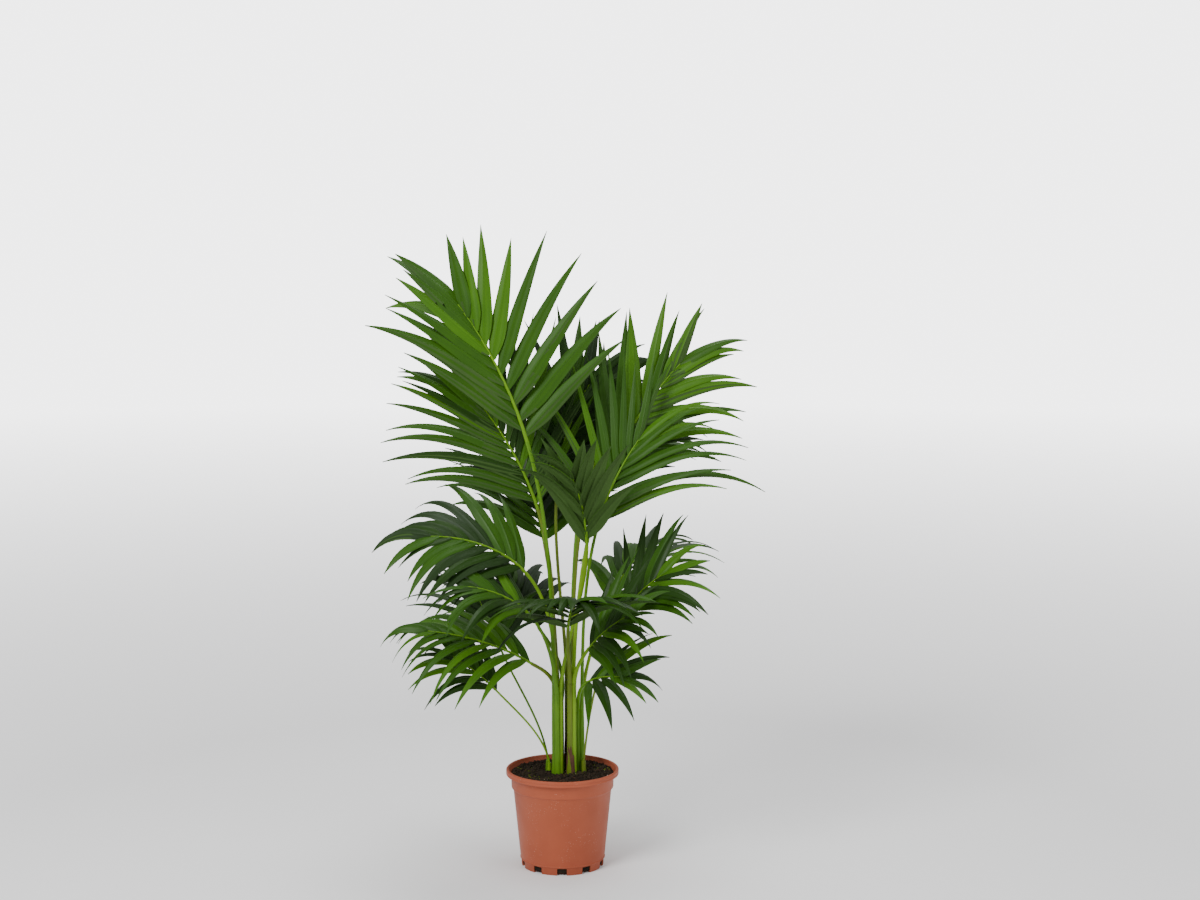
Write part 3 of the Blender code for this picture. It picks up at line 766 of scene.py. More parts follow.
@dataclass(frozen=True)
class Finish:
    """A surface: two colours that mottling mixes, streaks across and along, roughness and fine relief."""

    name: str
    colour: tuple[float, float, float]
    second: tuple[float, float, float]
    roughness: float
    mottle_scale: float = 20.0
    fine_scale: float = 400.0
    streaks: tuple[float, float] | None = None
    bump: float = 0.15
    relief: float = 0.0004
    speckle: tuple[float, float, float] | None = None
    gloss: float = 0.18
    smoother: float = 0.06
    rougher: float = 0.10
    streak_part: float = 0.55
    dot_scale: float = 260.0
    dot_edge: tuple[float, float] = (0.10, 0.22)
    dot_strength: float = 0.85
    dust_scale: float = 30.0
    dust_edge: tuple[float, float] = (0.50, 0.68)

    def make(self, effects: Effects) -> bpy.types.Material:
        """Build the material.

        Args:
            effects: the shared node groups.

        Returns:
            The material.
        """
        material = bpy.data.materials.new(self.name)
        material.use_nodes = True
        tree = material.node_tree
        shader = tree.nodes["Principled BSDF"].inputs
        shader["Metallic"].default_value = 0.0
        shader["Specular IOR Level"].default_value = self.gloss
        place = tree.nodes.new("ShaderNodeTexCoord").outputs
        scales = {"Vector": place["Object"], "Scale": self.mottle_scale, "Fine Scale": self.fine_scale}
        mottle = add_node(tree, "Group", scales, node_tree=effects.mottle).outputs
        mask = mottle["Mask"]
        height = mottle["Height"]
        if self.streaks:
            mask, height = self.add_streaks(tree, effects, place["UV"], mask)
        colour = add_mix(tree, mask, (*self.colour, 1.0), (*self.second, 1.0))
        if self.speckle:
            colour = self.add_speckle(tree, place["Object"], colour)
        limits = (self.roughness - self.smoother, self.roughness + self.rougher)
        rough = add_range(tree, mask, (0.0, 1.0), limits)
        bump = add_node(tree, "Bump", {"Strength": self.bump, "Distance": self.relief, "Height": height})
        tree.links.new(colour, shader["Base Color"])
        tree.links.new(rough, shader["Roughness"])
        tree.links.new(bump.outputs["Normal"], shader["Normal"])
        return material

    def add_streaks(self, tree: bpy.types.NodeTree, effects: Effects, place: bpy.types.NodeSocket,
                    mask: bpy.types.NodeSocket) -> tuple[bpy.types.NodeSocket, bpy.types.NodeSocket]:
        """Add streaks to the mottling.

        Args:
            tree: the material's nodes.
            effects: the shared node groups.
            place: the UV coordinates.
            mask: the mask of the mottling.

        Returns:
            The sockets of the joint mask and of the streaks' height.
        """
        across, along = self.streaks
        inputs = {"Vector": place, "Across": across, "Along": along}
        streaks = add_node(tree, "Group", inputs, node_tree=effects.streaks).outputs
        rest = add_math(tree, "MULTIPLY", mask, 1.0 - self.streak_part)
        both = add_math(tree, "MULTIPLY_ADD", streaks["Mask"], self.streak_part, rest)
        return both, streaks["Height"]

    def add_speckle(self, tree: bpy.types.NodeTree, place: bpy.types.NodeSocket,
                    colour: bpy.types.NodeSocket) -> bpy.types.NodeSocket:
        """Scatter pale specks of dust over a colour.

        Args:
            tree: the material's nodes.
            place: the coordinates.
            colour: the socket of the colour below.

        Returns:
            The socket of the speckled colour.
        """
        dots = add_node(tree, "TexVoronoi", {"Vector": place, "Scale": self.dot_scale})
        near = add_range(tree, dots.outputs["Distance"], self.dot_edge, (self.dot_strength, 0.0))
        patches = add_noise(tree, place, self.dust_scale, 3.0, 0.6)
        some = add_range(tree, patches, self.dust_edge)
        return add_mix(tree, add_math(tree, "MULTIPLY", near, some), colour, (*self.speckle, 1.0))


def leaf_finish(name: str, colour: tuple, second: tuple, roughness: float, bump: float = 0.5) -> Finish:
    """A leaf's finish, with the streaks of its veins."""
    return Finish(name, colour, second, roughness, 14.0, streaks=(22.0, 1.2), bump=bump)


def stalk_finish(name: str, colour: tuple, second: tuple, roughness: float) -> Finish:
    """A stalk's finish, with its long fibres."""
    return Finish(name, colour, second, roughness, 14.0, streaks=(12.0, 2.5), bump=0.4)


# Lit and shaded copies of one leaf green: sunlit is painted sunlight, deep and grey are painted shade, mid lies
# between.
LEAF_FINISHES = {
    Shade.SUNLIT: leaf_finish("leaf_sunlit", (0.058, 0.160, 0.002), (0.028, 0.096, 0.001), 0.44),
    Shade.MID: leaf_finish("leaf_mid_green", (0.032, 0.100, 0.002), (0.015, 0.056, 0.001), 0.44),
    Shade.DEEP: leaf_finish("leaf_painted_deep_shade", (0.015, 0.050, 0.002), (0.008, 0.028, 0.001), 0.42),
    Shade.SHADE: leaf_finish("leaf_painted_grey_shade", (0.016, 0.042, 0.007), (0.008, 0.023, 0.004), 0.44),
}
LEAF_UNDER = leaf_finish("leaf_underside", (0.042, 0.090, 0.016), (0.026, 0.062, 0.010), 0.55, 0.4)
MIDRIB = Finish("midrib_green", (0.150, 0.300, 0.010), (0.070, 0.180, 0.006), 0.42, 30.0,
                streaks=(8.0, 6.0), bump=0.20)
STALK_FINISHES = (
    stalk_finish("stalk_yellow_green", (0.200, 0.360, 0.012), (0.090, 0.210, 0.006), 0.38),
    stalk_finish("stalk_leaf_green", (0.120, 0.270, 0.010), (0.045, 0.125, 0.005), 0.40),
    stalk_finish("stalk_olive_green", (0.150, 0.230, 0.014), (0.070, 0.095, 0.010), 0.44),
)
HUSK = Finish("dry_husk_brown", (0.130, 0.062, 0.034), (0.050, 0.024, 0.014), 0.80, 30.0,
              streaks=(18.0, 1.5), bump=0.6)
POT_PLASTIC = Finish("terracotta_plastic", (0.365, 0.088, 0.042), (0.300, 0.068, 0.032), 0.48, 9.0, 900.0,
                     bump=0.10, relief=0.0002, speckle=(0.52, 0.26, 0.19))
PEAT = Finish("dark_peat", (0.008, 0.006, 0.004), (0.022, 0.015, 0.009), 0.95, 90.0, 900.0, bump=0.8)
CRUMB = Finish("peat_crumb", (0.011, 0.008, 0.005), (0.036, 0.024, 0.014), 0.92, 120.0, 1200.0, bump=0.6)
MOSS = Finish("yellow_moss", (0.130, 0.150, 0.012), (0.060, 0.075, 0.008), 0.9, 200.0, 1200.0, bump=0.4)
PERLITE = Finish("pale_grit", (0.55, 0.50, 0.42), (0.40, 0.34, 0.26), 0.8, 300.0, 1500.0, bump=0.4)


def link_object(name: str, data: bpy.types.ID) -> bpy.types.Object:
    """Make an object of a mesh, light or camera, at the origin.

    Args:
        name: the object's name.
        data: what it shows.

    Returns:
        The object.
    """
    obj = bpy.data.objects.new(name, data)
    bpy.context.scene.collection.objects.link(obj)
    return obj


def finished_mesh(name: str, work: bmesh.types.BMesh) -> bpy.types.Mesh:
    """Turn a working mesh into a finished one and free it.

    Args:
        name: the mesh's name.
        work: the working mesh.

    Returns:
        The finished mesh.
    """
    mesh = bpy.data.meshes.new(name)
    work.to_mesh(mesh)
    work.free()
    return mesh


def set_material(geometry: list, index: int) -> None:
    """Give a material index to the faces in an operator's result."""
    for face in (item for item in geometry if isinstance(item, bmesh.types.BMFace)):
        face.material_index = index


def spin_outline(work: bmesh.types.BMesh, outline: list[tuple[float, float]], sides: int) -> None:
    """Turn an outline round the pot's axis.

    Args:
        work: the mesh that it joins.
        outline: the radius and height of each point.
        sides: how many steps round.
    """
    verts = [work.verts.new((radius, 0.0, height)) for radius, height in outline]
    edges = [work.edges.new(pair) for pair in zip(verts, verts[1:])]
    bmesh.ops.spin(work, geom=verts + edges, cent=(0, 0, 0), axis=(0, 0, 1), angle=math.tau,
                   steps=sides, use_merge=True)
    bmesh.ops.remove_doubles(work, verts=work.verts, dist=WELD)


def lay_sheet(work: bmesh.types.BMesh, columns: int, rows: int, place: Callable[[float, float], Vector],
              thickness: float, upper: int, under: int) -> list:
    """Shape a grid into a thin sheet.

    Args:
        work: the mesh that it joins.
        columns: how many faces across.
        rows: how many faces along.
        place: the point for a side from -1 to 1 and a share of the length.
        thickness: how thick it is.
        upper: the material index of its upper side.
        under: the material index of its underside.

    Returns:
        The vertices of its upper side.
    """
    verts = bmesh.ops.create_grid(work, x_segments=columns, y_segments=rows, size=1.0, calc_uvs=True)["verts"]
    faces = list(dict.fromkeys(face for vert in verts for face in vert.link_faces))
    set_material(faces, upper)
    for vert in verts:
        vert.co = place(vert.co.x, (vert.co.y + 1.0) / 2.0)
    solid = bmesh.ops.solidify(work, geom=faces, thickness=thickness)
    set_material(solid["geom"], under)
    return verts


class Piece:
    """One finished piece of the plant in the making."""

    def __init__(self, name: str) -> None:
        """Start an empty mesh with a UV map."""
        self.name = name
        self.work = bmesh.new()
        self.uv = self.work.loops.layers.uv.new("UVMap")

    def finish(self, materials: list, slot: str, replaced: tuple = (), smooth: bool = True) -> bpy.types.Object:
        """Turn the mesh into an object that rides on the plant.

        Args:
            materials: the materials in order of face index.
            slot: not used.
            replaced: the CAD nodes that it stands for.
            smooth: whether its faces are shaded smooth.

        Returns:
            The object.
        """
        bmesh.ops.recalc_face_normals(self.work, faces=self.work.faces)
        mesh = finished_mesh(self.name, self.work)
        for material in materials:
            mesh.materials.append(material)
        if smooth:
            mesh.shade_smooth()
            mesh.set_sharp_from_angle(angle=SHARP_ANGLE)
        obj = link_object(self.name, mesh)
        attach(obj, BODY)
        if replaced:
            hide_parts(*replaced)
        log.info("%s: %d faces", self.name, len(mesh.polygons))
        return obj


def sweep(piece: Piece, points: list[Vector], rings: list[Callable[[float], float]], sides: int,
          index: int = 0) -> None:
    """Extrude a closed ring of sides along points.

    Args:
        piece: the piece that it joins.
        points: the line.
        rings: for each point, a function from an angle to a radius.
        sides: how many sides.
        index: the material index.
    """
    work = piece.work
    last = len(points) - 1
    loop = bmesh.ops.create_circle(work, segments=sides, radius=1.0, cap_ends=True)["verts"]
    across = (points[1] - points[0]).normalized().cross(FORWARD).normalized()
    for i, point in enumerate(points):
        along = (points[min(i + 1, last)] - points[max(i - 1, 0)]).normalized()
        across = (across - along * across.dot(along)).normalized()
        other = along.cross(across)
        if i:
            made = bmesh.ops.extrude_edge_only(work, edges=ring_edges(loop))["geom"]
            loop = match_ring(loop, made)
            set_material(made, index)
        for j, vert in enumerate(loop):
            angle = math.tau * j / sides
            vert.co = point + (across * math.cos(angle) + other * math.sin(angle)) * rings[i](angle)
            for link in vert.link_loops:
                link[piece.uv].uv = (min(j, sides - j) * 2.0 / sides, i / last)
    work.faces.new(loop).material_index = index


def ring_edges(loop: list) -> list:
    """The edges between neighbours in a ring of vertices.

    Args:
        loop: the ring.

    Returns:
        The edges in order.
    """
    edges = []
    for vert, nearest in zip(loop, loop[1:] + loop[:1]):
        edges.append(next(edge for edge in vert.link_edges if edge.other_vert(vert) is nearest))
    return edges


def match_ring(old: list, made: list) -> list:
    """The extruded vertices in the order of the ring that they came from.

    Args:
        old: the ring.
        made: what the extrusion made.

    Returns:
        The new ring.
    """
    fresh = {item for item in made if isinstance(item, bmesh.types.BMVert)}
    matched = []
    for vert in old:
        matched.append(next(e.other_vert(vert) for e in vert.link_edges if e.other_vert(vert) in fresh))
    return matched


def round_ring(radius: float) -> Callable[[float], float]:
    """A ring of one radius."""
    return lambda angle: radius


def channel_ring(radius: float, depth: float) -> Callable[[float], float]:
    """A ring with a shallow channel along its upper side."""
    return lambda angle: radius * (1.0 - depth * max(0.0, math.sin(angle)) ** 3)


def arc(centre: tuple[float, float], radii: tuple[float, float], start: float, end: float,
        steps: int) -> list[tuple[float, float]]:
    """Points on an arc of an outline.

    Args:
        centre: its centre.
        radii: its reach outwards and upwards.
        start: its first angle in degrees.
        end: its last angle in degrees.
        steps: how many steps it takes.

    Returns:
        The points.
    """
    angles = [math.radians(start + (end - start) * i / steps) for i in range(steps + 1)]
    return [(centre[0] + radii[0] * math.cos(a), centre[1] + radii[1] * math.sin(a)) for a in angles]


def near(corner: tuple[float, float], offsets: tuple) -> list[tuple[float, float]]:
    """The points of an outline that lie at these offsets from a corner."""
    return [(corner[0] + out, corner[1] + up) for out, up in offsets]


@dataclass
class Blade:
    """A frond's leaflets: folded, pleated and thin, with a pale underside."""

    number: int
    frond: Frond
    lines: list[LeafletLine]
    fold: float = 0.13
    pleat: float = 0.022
    columns: int = 6
    thickness: float = 0.0007
    tip_weld: float = 0.0006
    least_half: float = 0.00025
    twist_power: float = 1.5
    seed: int = 500

    def build(self, materials: dict, under: bpy.types.Material) -> bpy.types.Object:
        """Make the blade as one joined piece.

        Args:
            materials: the leaf materials by shade: painted sunlight, mid green and painted shade.
            under: the material of the undersides.

        Returns:
            The piece.
        """
        piece = Piece(f"leaflets_{self.number:02d}")
        shades = list(Shade)
        dice = random.Random(self.seed + self.number)
        for line in self.lines:
            # each leaflet gets a green with painted sunlight or painted shade, drawn by its frond's light
            shade = dice.choice(self.frond.light.value)
            self.add_leaflet(piece, line, shades.index(shade), len(shades))
        finish = [materials[shade] for shade in shades] + [under]
        return piece.finish(finish, "leaf", (f"frond_{self.number:02d}",))

    def add_leaflet(self, piece: Piece, line: LeafletLine, index: int, under: int) -> None:
        """Shape a grid into a leaflet and give it thickness.

        Args:
            piece: the piece that it joins.
            line: the leaflet's line.
            index: the material index of its upper side.
            under: the material index of its underside.
        """
        rows = len(line.points) - 1

        def place(side: float, share: float) -> Vector:
            """The point for a corner of the grid."""
            return self.surface_point(line, round(share * rows), side)

        verts = lay_sheet(piece.work, self.columns, rows, place, self.thickness, index, under)
        tips = [vert for vert in verts if (vert.co - line.points[-1]).length < self.tip_weld]
        bmesh.ops.remove_doubles(piece.work, verts=tips, dist=self.tip_weld)

    def surface_point(self, line: LeafletLine, row: int, side: float) -> Vector:
        """A point on the leaflet's upper surface.

        Args:
            line: the leaflet's line.
            row: the step along it.
            side: from -1 at one edge to 1 at the other.

        Returns:
            The point.
        """
        last = len(line.points) - 1
        along = (line.points[min(row + 1, last)] - line.points[max(row - 1, 0)]).normalized()
        share = row / last
        turn = Matrix.Rotation(line.twist * share**self.twist_power, 3, along)
        across = turn @ line.across[row]
        normal = across.cross(along).normalized()
        half = max(line.widths[row] / 2, self.least_half)
        height = half * 2 * (self.fold * (1.0 - abs(side)) + self.pleat * math.cos(3 * math.pi * side))
        aside = line.across[0] * (line.bend * share * share)
        return line.points[row] + aside + across * (half * side) + normal * height


@dataclass
class Limb:
    """A frond's midrib and its channelled stalk."""

    number: int
    frond: Frond
    rib: Rib
    growth: Growth
    sides: int = 12
    rows: int = 40
    sunk: float = 0.014
    foot_flare: float = 0.0021
    flare_height: float = 0.055
    thin_stalk: float = 0.0021
    rib_channel: float = 0.15
    stalk_channel: float = 0.22
    overlap: float = 0.02
    end_taper: float = 0.98

    def build_midrib(self, material: bpy.types.Material) -> bpy.types.Object:
        """The midrib, from the neck to the tip.

        Args:
            material: the midrib's green.

        Returns:
            The piece.
        """
        piece = Piece(f"midrib_{self.number:02d}")
        points, radii = self.growth.rib_line(self.rib, self.frond, self.rows // 2)
        sweep(piece, points, [channel_ring(radius, self.rib_channel) for radius in radii], self.sides)
        return piece.finish([material], "petiole")

    def build_stalk(self, material: bpy.types.Material) -> bpy.types.Object:
        """The stalk, which runs down into its sheath and on up to the neck.

        Args:
            material: the stalk's green.

        Returns:
            The piece.
        """
        piece = Piece(f"stalk_{self.number:02d}")
        points, radii = self.growth.stalk_line(self.rib, self.frond, self.rows)
        seat = points[0].z
        flare = self.foot_flare if self.frond.stalk > self.thin_stalk else 0.0
        flares = [flare * math.exp((seat - at.z) / self.flare_height) for at in points]
        radii = [radius + more for radius, more in zip(radii, flares)]
        foot = points[0] - UP * self.sunk
        points = [foot] + points + [self.rib.rib_point(self.overlap)]
        radii = [radii[0]] + radii + [radii[-1] * self.end_taper]
        sweep(piece, points, [channel_ring(radius, self.stalk_channel) for radius in radii], self.sides)
        return piece.finish([material], "petiole", (f"petiole_{self.number:02d}",))


@dataclass
class SheathedStem:
    """A bundle of sheathed stalk bases that rise side by side from the peat."""

    number: int
    stem: Stem
    seats: dict[int, Vector]
    growth: Growth
    sides: int = 24
    rows: int = 26
    sunk: float = 0.004
    gather: float = 0.80
    base_radius: float = 0.0056
    top_radius: float = 0.0046
    swell: float = 0.0010
    lap: float = 0.0007
    swell_at: float = 0.06
    swell_spread: float = 0.08
    folds: int = 3
    fold_depth: float = 0.04
    fold_turn: float = 4.0
    lap_turn: float = 2.2
    lap_rise: float = 5.0
    lap_fall: float = 0.5
    bow: float = 0.10
    sizes: tuple[float, float] = (0.92, 1.10)
    seed: int = 60
    husked: tuple[int, ...] = (2, 4, 5)
    husk_starts: tuple[float, float] = (-2.4, -0.8)
    husk_reaches: tuple[float, float] = (1.6, 2.6)
    husk_heights: tuple[float, float] = (0.30, 0.55)
    husk_narrowing: float = 0.35
    husk_droop: float = 0.35
    husk_ragged: float = 0.10
    husk_flare: float = 0.0016
    husk_thickness: float = 0.0004

    def tube_radius(self, share: float, angle: float, mark: float) -> float:
        """One sheath's radius at a share of its height and an angle round it.

        Args:
            share: the share of its height.
            angle: the angle round it.
            mark: a number of its own, which turns its lap and folds.

        Returns:
            The radius.
        """
        body = self.base_radius + (self.top_radius - self.base_radius) * share**0.7
        if len(self.seats) < 2:
            body = self.stem.foot_radius + (self.stem.top_radius - self.stem.foot_radius) * share
        foot = self.swell * math.exp(-((share - self.swell_at) / self.swell_spread) ** 2)
        folds = 1.0 + self.fold_depth * math.sin(self.folds * angle + self.fold_turn * share + mark)
        lap = (angle + mark + self.lap_turn * share) % math.tau
        edge = self.lap * (1.0 - math.exp(-lap * self.lap_rise)) * math.exp(-lap * self.lap_fall)
        return body * folds + foot + edge

    def build(self, greens: list[bpy.types.Material], husk: bpy.types.Material) -> bpy.types.Object:
        """Make the sheaths, with a dry husk round the foot of some.

        Args:
            greens: the green materials, dealt by frond.
            husk: the dry brown material.

        Returns:
            The piece.
        """
        piece = Piece(f"sheath_{self.number}")
        dice = random.Random(self.seed + self.number)
        for frond_number, seat in self.seats.items():
            self.add_sheath(piece, seat, dice, frond_number % len(greens))
        if self.number in self.husked:
            self.add_husk(piece, dice, len(greens))
        return piece.finish([*greens, husk], "sheath", (f"stem_{self.number}",))

    def add_sheath(self, piece: Piece, seat: Vector, dice: random.Random, index: int) -> None:
        """One sheath, from the peat to its stalk's seat.

        Args:
            piece: the piece that it joins.
            seat: where its stalk stands.
            dice: a seeded source of small differences.
            index: its material index.
        """
        middle = Vector((*self.stem.place, 0.0))
        low = self.growth.soil_top - self.sunk
        mark = dice.uniform(0.0, math.tau)
        size = dice.uniform(*self.sizes)
        offset = Vector((seat.x, seat.y, 0.0)) - middle
        points = []
        rings = []
        for i in range(self.rows + 1):
            share = i / self.rows
            spread = self.gather + (1.0 - self.gather) * share + self.bow * math.sin(math.pi * share)
            at = middle + offset * spread
            points.append(Vector((at.x, at.y, low + (seat.z - low) * share)))
            rings.append(lambda angle, share=share: self.tube_radius(share, angle, mark) * size)
        sweep(piece, points, rings, self.sides, index)

    def add_husk(self, piece: Piece, dice: random.Random, index: int) -> None:
        """A torn dry husk that clasps part of the foot.

        Args:
            piece: the piece that it joins.
            dice: a seeded source of its size and place.
            index: its material index.
        """
        low = self.growth.soil_top - self.sunk
        start = dice.uniform(*self.husk_starts)
        reach = dice.uniform(*self.husk_reaches)
        tall = self.stem.height * dice.uniform(*self.husk_heights)

        def place(side: float, share: float) -> Vector:
            """The point for a corner of the husk's grid."""
            ragged = self.husk_ragged * math.sin(9.0 * side + self.number)
            torn = 1.0 - self.husk_droop * abs(side) ** 1.5 - ragged
            angle = start + side * reach / 2 * (1.0 - self.husk_narrowing * share)
            radius = self.stem.foot_radius * (0.98 - 0.10 * share) + self.husk_flare * share**3
            x = self.stem.place[0] + radius * math.cos(angle)
            return Vector((x, self.stem.place[1] + radius * math.sin(angle), low + tall * share * torn))

        lay_sheet(piece.work, 14, 12, place, self.husk_thickness, index, index)


@dataclass
class NurseryPot:
    """The moulded pot: rolled rim with a groove, collar, tapering wall and slotted foot."""

    height: float = 0.184
    rim_radius: float = 0.105
    rim_height: float = 0.011
    rim_width: float = 0.0055
    collar_radius: float = 0.0958
    collar_height: float = 0.024
    collar_step: float = 0.0035
    shoulder_radius: float = 0.0914
    ridge_radius: float = 0.0785
    ridge_height: float = 0.016
    ridge_proud: float = 0.0009
    foot_radius: float = 0.0772
    wall: float = 0.0024
    floor: float = 0.003
    sides: int = 160
    slot_count: int = 10
    slot_width: float = 0.018
    slot_height: float = 0.0132
    slot_depth: float = 0.0115
    slot_corner: float = 0.0012
    inner_draft: float = 0.002
    lip_share: float = 0.45
    rim_edge: float = 0.0012
    ridge_half: float = 0.0012
    groove_share: float = 0.62
    inner_collar: tuple = ((0.0004, -0.001),)
    groove: tuple = ((0.0, 0.0007), (-0.0005, 0.0), (0.0, -0.0007))
    under_rim: tuple = ((0.0008, -0.0001), (0.0, -0.0009))
    collar_end: tuple = ((-0.0007, 0.0010), (-0.0010, 0.0002))
    shoulder_turn: tuple = ((0.0012, 0.0010), (0.0, -0.0004))
    above_ridge: tuple = ((0.0001, 0.0018),)
    foot_turn: tuple = ((0.0002, 0.0136), (-0.0009, 0.0008), (-0.0016, 0.0), (-0.014, 0.0), (-0.016, 0.0006))

    def profile(self) -> list[tuple[float, float]]:
        """The wall's outline, from the middle of the floor inside to the middle underneath.

        Returns:
            The radius and height of each point.
        """
        collar_top = self.height - self.rim_height
        collar_foot = collar_top - self.collar_height
        shoulder = collar_foot - self.collar_step
        inside = self.rim_radius - self.rim_width
        bend = self.rim_width / 2
        edge = self.rim_edge
        ridge = (self.ridge_radius, self.ridge_height)
        points = [
            (0.0, self.floor),
            (self.ridge_radius - self.wall - self.inner_draft, self.floor),
            (self.shoulder_radius - self.wall, shoulder),
            (self.collar_radius - self.wall, collar_foot + self.collar_step),
        ]
        points += near((self.collar_radius - self.wall, collar_top), self.inner_collar)
        points.append((inside, collar_top + self.rim_height * self.lip_share))
        points += arc((inside + bend, self.height - bend), (bend, bend), 180, 0, 8)
        points += near((self.rim_radius, self.height - self.rim_height * self.groove_share), self.groove)
        points += arc((self.rim_radius - edge, collar_top + edge), (edge, edge), 0, -90, 4)
        points += near((self.collar_radius, collar_top), self.under_rim)
        points += near((self.collar_radius, collar_foot), self.collar_end)
        points += near((self.shoulder_radius, shoulder), self.shoulder_turn)
        points += near(ridge, self.above_ridge)
        points += arc(ridge, (self.ridge_proud, self.ridge_half), 90, -90, 4)
        points += near((self.foot_radius, 0.0), self.foot_turn)
        return points + [(0.0, self.foot_turn[-1][1])]

    def build(self, material: bpy.types.Material) -> bpy.types.Object:
        """Spin the wall and cut its slots.

        Args:
            material: the plastic.

        Returns:
            The piece.
        """
        piece = Piece("nursery_pot")
        spin_outline(piece.work, self.profile(), self.sides)
        obj = piece.finish([material], "pot", ("pot",))
        self.cut_slots(obj)
        return obj

    def cut_slots(self, obj: bpy.types.Object) -> None:
        """Cut the ring of drainage slots through the foot.

        Args:
            obj: the spun pot.
        """
        tool = bmesh.new()
        reach = self.slot_depth * 2
        for i in range(self.slot_count):
            angle = math.tau * (i + 0.5) / self.slot_count
            middle = self.foot_radius - self.slot_depth + reach / 2
            place = Matrix.Rotation(angle, 4, "Z") @ Matrix.Translation((middle, 0.0, 0.0))
            size = Matrix.Diagonal((reach, self.slot_width, self.slot_height * 2, 1.0))
            bmesh.ops.create_cube(tool, size=1.0, matrix=place @ size)
        uprights = [edge for edge in tool.edges if abs(edge.verts[0].co.z + edge.verts[1].co.z) > 0.001]
        bmesh.ops.bevel(tool, geom=uprights, offset=self.slot_corner, segments=3, profile=0.5, material=-1,
                        affect="EDGES")
        cutter = link_object("slot_tool", finished_mesh("slot_tool", tool))
        cut = obj.modifiers.new("Slots", "BOOLEAN")
        cut.operation = "DIFFERENCE"
        cut.object = cutter
        bpy.context.view_layer.update()
        shaped = bpy.data.meshes.new_from_object(obj.evaluated_get(bpy.context.evaluated_depsgraph_get()))
        obj.modifiers.remove(cut)
        obj.data = shaped
        bpy.data.objects.remove(cutter, do_unlink=True)


@dataclass(frozen=True)
class Litter:
    """Small lumps of one kind that lie on the peat: their number, radii, flatness and seed."""

    name: str
    finish: Finish
    count: int
    least: float
    greatest: float
    flat: float
    seed: int
    patchy: bool = False


LITTER = (
    Litter("peat_crumbs", CRUMB, 2600, 0.0006, 0.0042, 0.8, 21),
    Litter("moss_bits", MOSS, 620, 0.0006, 0.0022, 0.6, 22, patchy=True),
    Litter("pale_bits", PERLITE, 60, 0.0005, 0.0014, 0.8, 23),
)


